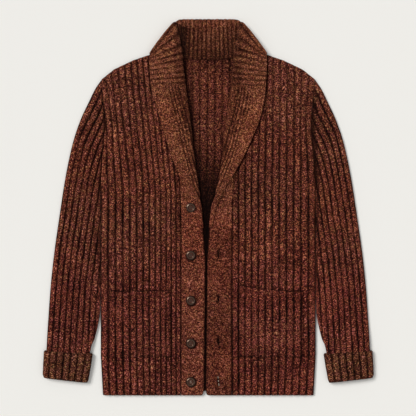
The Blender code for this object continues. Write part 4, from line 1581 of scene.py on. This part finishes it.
# Over the shoulder: neck seam and roll, out and up of each, then the fold's turn in degrees
# with the free edge there.
SIDE_FOLD = (73.6, 719.5, 69.5, 783.5)
SIDE_EDGES = ((90.0, 122.4, 713.5), (45.0, 121.8, 717.5), (0.0, 118.8, 720.6),
              (-45.0, 116.0, 722.0), (-90.0, 113.0, 723.0))
# Behind the neck: neck seam, roll and free edge, out and up of each.
BACK_ROWS = ((60.0, 712.5, 59.5, 790.2, 98.0, 724.0), (45.0, 708.5, 42.0, 791.2, 72.0, 722.5),
             (22.0, 706.0, 20.0, 791.2, 36.0, 722.0), (0.0, 705.5, 0.0, 791.2, 0.0, 722.0))


@dataclass
class Collar:
    """The shawl collar: stand, roll and fall, from break to break round the neck."""

    finish: bpy.types.Material
    points_across: int = 84
    step: float = 1.7
    rib_pitch: float = 10.4
    rib_depth: float = 1.5
    ribs_from: float = 6.0
    roll: float = 0.46
    line_pitch: float = 6.8
    lapel_z: tuple[float, float] = (6.3, 11.8)
    front_z: tuple[float, float] = (9.4, 13.6)
    back_z: tuple[float, float] = (5.6, 1.5)
    bow: float = 2.6
    # Length and greatest width as knitted, and the area in square metres.
    cut: tuple[float, float] = (1080.0, 152.0)
    cut_area: float = 0.092

    def path(self, row: Sequence[float], stand_z: float, fall_z: float, turn: float,
             neck_z: float | None = None) -> np.ndarray:
        """Return one station of the middle surface, from neck seam to free edge.

        Args:
            row: Neck, roll and edge, as out and up of each.
            stand_z: Height of the stand.
            fall_z: Height of the fall.
            turn: Angle in radians, a right angle where the fall lies over the stand.
            neck_z: Height of the neck seam, if not the stand's.

        Returns:
            Eight points.
        """
        neck, roll, edge = (np.array([row[k], row[k + 1], 0.0]) for k in (0, 2, 4))
        up_stand = (roll - neck) / np.linalg.norm(roll - neck)
        down_fall = (edge - roll) / np.linalg.norm(edge - roll)
        outward = np.array([up_stand[1], -up_stand[0], 0.0])
        outward = -outward if outward[0] < 0.0 else outward
        radius = max(abs(fall_z - stand_z) * 0.5, 2.0)
        inset = math.cos(turn)
        tall = np.array([0.0, 0.0, 1.0])
        spread = (tall * math.sin(turn) + outward * inset) * radius
        middle, stand, fall = (tall * z for z in (0.5 * (stand_z + fall_z), stand_z, fall_z))
        bulge = np.cross(down_fall, tall)
        bulge = -bulge if bulge[0] < 0.0 or bulge[1] < 0.0 else bulge
        bow = bulge * self.bow * max(0.0, inset)
        start = neck + (stand if neck_z is None else tall * neck_z)
        back_off = min(radius, 0.4 * float(np.linalg.norm(edge - roll)))
        return np.array([
            start, 0.5 * (neck + roll) + stand, roll - up_stand * radius * 1.6 + middle - spread,
            roll + middle, roll + down_fall * back_off * 1.2 + middle + spread,
            0.62 * roll + 0.38 * edge + fall + bow, 0.3 * roll + 0.7 * edge + fall + bow * 0.8,
            edge + fall])

    def lapel(self, side: Side) -> list[np.ndarray]:
        """Return the stations of one front half, from the break up to the shoulder.

        Args:
            side: Which front.

        Returns:
            Stations of eight points.
        """
        made = []
        rows = LAPEL_ROWS[side]
        seam = BAND_SEAM[side]
        for i, row in enumerate(rows):
            part = max(0.0, (row[0] - NECK_START) / (NECK_POINT - NECK_START))
            neck = seam + (NECK_OUT - seam) * part - 2.0 * SEAM_GAP
            rise = max(0.0, (i - 4) / (len(rows) - 5))
            fold = min(1.0, 0.62 + 0.19 * i)
            low, high = self.lapel_z
            stand = low + (self.front_z[0] - low) * rise
            fall = low + (high - low) * fold
            fall += (self.front_z[1] - fall) * rise
            made.append(self.path((neck, *row), stand, fall, 0.5 * math.pi))
        return made

    def side_fold(self) -> list[np.ndarray]:
        """Return the stations that carry the collar round a side, from over to under.

        Returns:
            Stations of eight points.
        """
        stand_middle, stand_swing = (0.5 * (self.front_z[0] + s * self.back_z[0]) for s in (1, -1))
        fall_middle, fall_swing = (0.5 * (self.front_z[1] + s * self.back_z[1]) for s in (1, -1))
        made = []
        for degrees, *edge in SIDE_EDGES:
            turn = math.radians(degrees)
            path = self.path((*SIDE_FOLD, *edge), stand_middle + stand_swing * math.sin(turn),
                             fall_middle + fall_swing * math.sin(turn), turn)
            path[:3, 0] -= stand_swing * (1.0 - math.cos(turn))
            made.append(path)
        return made

    def half(self, side: Side) -> tuple[np.ndarray, np.ndarray]:
        """Return one half's stations and each one's number in the table.

        Args:
            side: Which half.

        Returns:
            Stations x 8 x 3 points, and the station numbers they come from.
        """
        back = [self.path(row, *self.back_z, -0.5 * math.pi, 1.5 * WALL + SEAM_GAP)
                for row in BACK_ROWS]
        keys = np.array(self.lapel(side) + self.side_fold() + back)
        reach = np.linalg.norm(np.diff(keys, axis=0), axis=2).max(axis=1)
        steps = [max(2, round(float(r) / self.step)) for r in reach]
        made = eased(keys, steps)
        numbers = np.concatenate([j + np.arange(n) / n for j, n in enumerate(steps)]
                                 + [[len(steps)]])
        made[..., 0] *= side.value
        return made, numbers

    def across(self, stations: np.ndarray) -> np.ndarray:
        """Return each station with many points, its folds softly rounded.

        Args:
            stations: Stations x 8 x 3 points.

        Returns:
            Stations x points x 3, the middle surface.
        """
        length = travelled(stations, 1)
        spots = np.linspace(0.0, 1.0, self.points_across)
        full = np.empty((len(stations), self.points_across, 3))
        for line, station, run in zip(full, stations, length):
            for axis in range(3):
                line[:, axis] = np.interp(spots * run[-1], run, station[:, axis])
        soft = full.copy()
        for _ in range(6):
            soft[:, 1:-1] = 0.25 * soft[:, :-2] + 0.5 * soft[:, 1:-1] + 0.25 * soft[:, 2:]
        return soft

    def neck_knit(self, along: np.ndarray, over: np.ndarray,
                  numbers: np.ndarray) -> tuple[np.ndarray, np.ndarray]:
        """Return the relief of the ribs that stand round the neck, and their openness.

        Args:
            along: How far each place lies along the collar, in millimetres.
            over: How far it lies from the neck seam.
            numbers: Each station's number in the table.

        Returns:
            Height over the wall, and the light mask.
        """
        paced = 0.5 * (along[:, 10] + along[:, 66])
        begun = paced[np.argmax(numbers >= self.ribs_from - 0.1)]
        phase = (paced[:, None] - begun) / self.rib_pitch
        phase = phase + 0.06 * smooth_noise(over, along, 24.0, 83)
        wave = np.abs(np.sin(np.pi * phase)) ** 0.7
        fine, fine_open = fine_relief(over, along, 81)
        turning = bell(numbers - 10.8, 1.5)[:, None]
        rolled = bell(over / over[:, -1:] - self.roll, 0.1)
        height = self.rib_depth * (wave - 0.5) * (1.0 - 0.7 * turning) * (1.0 - 0.75 * rolled)
        groove = (1.0 - wave ** 1.4) * (0.62 + 0.2 * smooth_noise(over, along, 26.0, 84))
        openness = unit(0.8 - groove * (1.0 - 0.65 * turning) + 0.62 * (fine_open - 0.68))
        return height + 0.45 * fine, openness

    def lapel_knit(self, along: np.ndarray, over: np.ndarray) -> tuple[np.ndarray, np.ndarray]:
        """Return the relief of the lapels' fine knitting, with lines beside the roll.

        Args:
            along: How far each place lies along the collar, in millimetres.
            over: How far it lies from the neck seam.

        Returns:
            Height over the wall, and the light mask.
        """
        fine, fine_open = fine_relief(over, along, 81)
        share = over / over[:, -1:]
        from_roll = (share - self.roll) * over[:, -1:]
        near = bell(np.maximum(from_roll - 14.0, 0.0), 7.0) * (share > self.roll - 0.1)
        wander = 0.7 * smooth_noise(over, along, 30.0, 88)
        lines = np.abs(np.sin(np.pi * (from_roll + wander) / self.line_pitch))
        height = 0.8 * fine + near * 0.9 * (lines - 0.6)
        return height, unit(fine_open - near * 0.7 * (1.0 - lines ** 0.8))

    def knit(self, middle: np.ndarray, numbers: np.ndarray,
             side: Side) -> tuple[np.ndarray, np.ndarray]:
        """Return the relief of the collar's knitting and its openness.

        Args:
            middle: Stations x points x 3, the middle surface.
            numbers: Each station's number in the table.
            side: Which half.

        Returns:
            Height over the wall, and the light mask.
        """
        along, over = travelled(middle, 0), travelled(middle, 1)
        ribbed = unit((numbers - self.ribs_from) / 0.25)[:, None]
        rib_height, rib_open = self.neck_knit(along, over, numbers)
        plain_height, plain_open = self.lapel_knit(along, over)
        selvedge = bell(over[:, -1:] - over, 1.6)
        height = ribbed * rib_height + (1.0 - ribbed) * plain_height - 0.8 * selvedge
        openness = ribbed * rib_open + (1.0 - ribbed) * plain_open
        inside = unit((self.roll - over / over[:, -1:]) / 0.06)
        openness = openness * (1.0 - inside * (0.3 + 0.26 * unit(1.0 - over / 30.0)))
        if side is Side.RIGHT:
            behind = unit(numbers - 10.0)[:, None]
            under_roll = behind * bell(middle[..., 0] + 54.0, 11.0)
            openness = openness * (1.0 - 0.85 * inside * under_roll)
        return height, openness

    def build(self) -> None:
        """Build and dress the collar."""
        halves = []
        for side in Side:
            stations, numbers = self.half(side)
            middle = self.across(stations)
            halves.append((middle, *self.knit(middle, numbers, side)))
        middle, height, openness = (
            np.concatenate([right, left[-2::-1]]) for right, left in zip(*halves))
        lift = 0.5 * smooth_noise(middle[..., 0], middle[..., 1], 40.0, 87)
        normal = surface_normals(middle)
        outer = middle + normal * (0.5 * WALL + height + 0.3)[..., None]
        fine, under = fine_relief(middle[..., 0], middle[..., 1], 91)
        inner = middle - normal * (0.5 * WALL + 0.6 * fine)[..., None]
        front = unit((middle[..., 2] - 8.0) / 3.0)
        outer[..., 2] += lift * front
        for face in (outer, inner):
            face[..., 2] = np.maximum(face[..., 2], 0.0)
        Piece("collar", self.finish, Knit.FINE, self.cut, area=self.cut_area,
              held="folded", rests_on=("front_right", "front_left", "back")).place(
            wall_mesh("collar_knit", outer, inner, openness, step=2, under=under))


@dataclass
class Button:
    """A turned four-hole button with a raised rim, sewn on with thread."""

    node: str
    up: float
    horn: bpy.types.Material
    thread: bpy.types.Material
    base_z: float
    turn: float
    segments: int = 56
    hole_ring: float = 2.2
    hole_radius: float = 0.95
    bore: float = 12.0
    strand_radius: float = 0.2
    strand_sides: int = 8
    # Radius and height of each ring, from the middle of the dish round to the back.
    profile: tuple[tuple[float, float], ...] = (
        (0.0, 2.5), (1.6, 2.5), (3.4, 2.5), (4.4, 2.55), (4.9, 2.8), (5.3, 3.5), (5.7, 4.15),
        (6.2, 4.5), (6.7, 4.52), (7.4, 4.3), (8.2, 3.98), (9.0, 3.62), (9.5, 3.15),
        (9.85, 2.5), (10.0, 1.8), (9.8, 1.1), (9.2, 0.5), (8.2, 0.1), (6.0, 0.0), (0.0, 0.0))

    def turned(self) -> bpy.types.Object:
        """Turn the button from its profile.

        Returns:
            The mesh object, without its holes.
        """
        mesh_data = bmesh.new()
        rings = []
        for radius, high in self.profile:
            count = self.segments if radius else 1
            angles = [2.0 * math.pi * k / self.segments for k in range(count)]
            rings.append([mesh_data.verts.new(Vector((
                radius * math.cos(a), radius * math.sin(a), high)) * MM) for a in angles])
        for ring, after in zip(rings, rings[1:]):
            for k in range(self.segments):
                n = (k + 1) % self.segments
                corners = [ring[k % len(ring)], ring[n % len(ring)],
                           after[n % len(after)], after[k % len(after)]]
                mesh_data.faces.new(list(dict.fromkeys(corners)))
        bmesh.ops.recalc_face_normals(mesh_data, faces=mesh_data.faces)
        return linked(f"{self.node}_horn", mesh_data)

    def bores(self) -> bpy.types.Object:
        """Make the four rods that bore the thread holes.

        Returns:
            The cutter.
        """
        mesh_data = bmesh.new()
        radius = self.hole_radius * MM
        for x, y in self.holes():
            made = bmesh.ops.create_cone(mesh_data, cap_ends=True, segments=18, radius1=radius,
                                         radius2=radius, depth=self.bore * MM)
            bmesh.ops.translate(mesh_data, vec=Vector((x, y, 0.0)) * MM, verts=made["verts"])
        return linked(f"{self.node}_bores", mesh_data)

    def disc(self) -> bpy.types.Object:
        """Turn the button and bore its four holes.

        Returns:
            The mesh object.
        """
        disc, cutter = self.turned(), self.bores()
        cut = disc.modifiers.new("bores", "BOOLEAN")
        cut.operation, cut.solver, cut.object = "DIFFERENCE", "EXACT", cutter
        graph = bpy.context.evaluated_depsgraph_get()
        disc.data = bpy.data.meshes.new_from_object(disc.evaluated_get(graph))
        disc.modifiers.clear()
        bpy.data.objects.remove(cutter)
        disc.data.shade_smooth()
        disc.data.set_sharp_from_angle(angle=math.radians(38.0))
        return disc

    def holes(self) -> list[tuple[float, float]]:
        """Return the middles of the four holes, in millimetres."""
        angles = [math.radians(45.0 + 90.0 * k + self.turn) for k in range(4)]
        return [(self.hole_ring * math.cos(a), self.hole_ring * math.sin(a)) for a in angles]

    def stitches(self) -> bpy.types.Object:
        """Lay two rows of thread through the holes.

        Returns:
            The mesh object.
        """
        mesh_data = bmesh.new()
        spots = self.holes()
        for first, second in ((0, 1), (3, 2)):
            for strand in (-0.32, 0.0, 0.32):
                self.strand(mesh_data, spots[first], spots[second], strand)
        bmesh.ops.recalc_face_normals(mesh_data, faces=mesh_data.faces)
        obj = linked(f"{self.node}_thread", mesh_data)
        obj.data.shade_smooth()
        return obj

    def strand(self, mesh_data: bmesh.types.BMesh, start: tuple[float, float],
               end: tuple[float, float], shift: float) -> None:
        """Add one strand that rises from a hole, crosses and goes down the next.

        Args:
            mesh_data: What to add to.
            start: Middle of the first hole.
            end: Middle of the second hole.
            shift: How far to the side the strand lies.
        """
        a, b = Vector((*start, 0.0)), Vector((*end, 0.0))
        along = (b - a).normalized()
        sideways = Vector((-along.y, along.x, 0.0))
        rise = Vector((0.0, 0.0, 1.0))
        count, radius = self.strand_sides, self.strand_radius
        rings = []
        for place, z in ((-0.12, 0.4), (0.0, 2.2), (0.22, 2.95), (0.5, 3.1), (0.78, 2.95),
                         (1.0, 2.2), (1.12, 0.4)):
            middle = a.lerp(b, place) + sideways * shift + rise * z
            rings.append([mesh_data.verts.new((middle + (sideways * math.cos(t) + rise * math.sin(
                t)) * radius) * MM) for t in (2.0 * math.pi * k / count for k in range(count))])
        for ring, after in zip(rings, rings[1:]):
            for k in range(count):
                n = (k + 1) % count
                mesh_data.faces.new((ring[k], ring[n], after[n], after[k]))
        mesh_data.faces.new(rings[0])
        mesh_data.faces.new(rings[-1])

    def build(self) -> None:
        """Build, dress and place the button and its thread."""
        place = Vector((-BUTTON_OUT, self.up + HEM_Y, self.base_z)) * MM
        for obj, finish in ((self.disc(), self.horn), (self.stitches(), self.thread)):
            obj.location = place
            put(obj, finish, self.node)
        LOG.info("%s: built at %.0f mm up", self.node, self.up)


@dataclass
class Studio:
    """A pale floor, soft daylight-like lamps and the camera straight above."""

    target: tuple[float, float, float] = (-0.0005, -0.0018, 0.008)
    camera_height: float = 1.941
    lens: float = 80.0
    floor_colour: tuple[int, int, int] = (246, 245, 241)
    floor_size: float = 20.0
    floor_drop: float = 0.0003
    sky: float = 0.36

    def floor(self) -> None:
        """Lay the floor."""
        s = Shader("pale_floor")
        material = s.finish({"Base Color": linear(*self.floor_colour), "Roughness": 0.9,
                             "Specular IOR Level": 0.1})
        mesh_data = bmesh.new()
        bmesh.ops.create_grid(mesh_data, x_segments=1, y_segments=1, size=self.floor_size)
        floor = linked("floor", mesh_data)
        floor.data.materials.append(material)
        floor.location.z = -self.floor_drop

    @staticmethod
    def lamp(name: str, place: tuple[float, float, float], spread: float, strength: float,
             colour: tuple[float, float, float]) -> None:
        """Add one far, soft lamp, so that the floor is lit evenly.

        Args:
            name: Name of the lamp.
            place: Where the light comes from.
            spread: How wide the source looks, in degrees.
            strength: Its strength.
            colour: Its colour.
        """
        data = bpy.data.lights.new(name, "SUN")
        data.angle, data.energy, data.color = math.radians(spread), strength, colour
        lamp = bpy.data.objects.new(name, data)
        lamp.location = place
        lamp.rotation_euler = (-Vector(place)).to_track_quat("-Z", "Y").to_euler()
        bpy.context.scene.collection.objects.link(lamp)

    def build(self) -> None:
        """Set up floor, light, world and camera."""
        self.floor()
        self.lamp("key", (-2.2, 1.5, 2.7), 28.0, 2.1, (1.0, 0.985, 0.97))
        self.lamp("fill", (1.4, -0.9, 3.0), 60.0, 0.35, (0.98, 0.99, 1.0))
        world = bpy.data.worlds.new("studio")
        world.use_nodes = True
        background = world.node_tree.nodes["Background"]
        background.inputs["Color"].default_value = (1.0, 1.0, 0.99, 1.0)
        background.inputs["Strength"].default_value = self.sky
        bpy.context.scene.world = world
        data = bpy.data.cameras.new("camera")
        data.lens, data.sensor_width = self.lens, 36.0
        camera = bpy.data.objects.new("camera", data)
        camera.location = (self.target[0], self.target[1], self.target[2] + self.camera_height)
        bpy.context.scene.collection.objects.link(camera)
        bpy.context.scene.camera = camera
        bpy.context.scene.view_settings.view_transform = "Standard"


def main() -> None:
    """Build the cardigan and its studio."""
    logging.basicConfig(level=logging.INFO, format="%(message)s")
    ribbed, fine, cuff = RIBBED_WOOL.dress(), FINE_WOOL.dress(), CUFF_WOOL.dress()
    horn, dark, pale = HORN.dress(), DARK_THREAD.dress(), PALE_THREAD.dress()
    Back(ribbed).build()
    for side in Side:
        FrontPanel(side, ribbed).build()
    for side in Side:
        FrontBand(side, fine, pale).build()
        Sleeve(side, ribbed, cuff).build()
    Collar(fine).build()
    for number, up in enumerate(BUTTON_UPS, 1):
        Button(f"button_{number}", up, horn, pale if number == 1 else dark,
               base_z=BAND_TOP if up < BREAK else LAPEL_TOP, turn=17.0 * number).build()
    Studio().build()


if __name__ == "__main__":
    main()
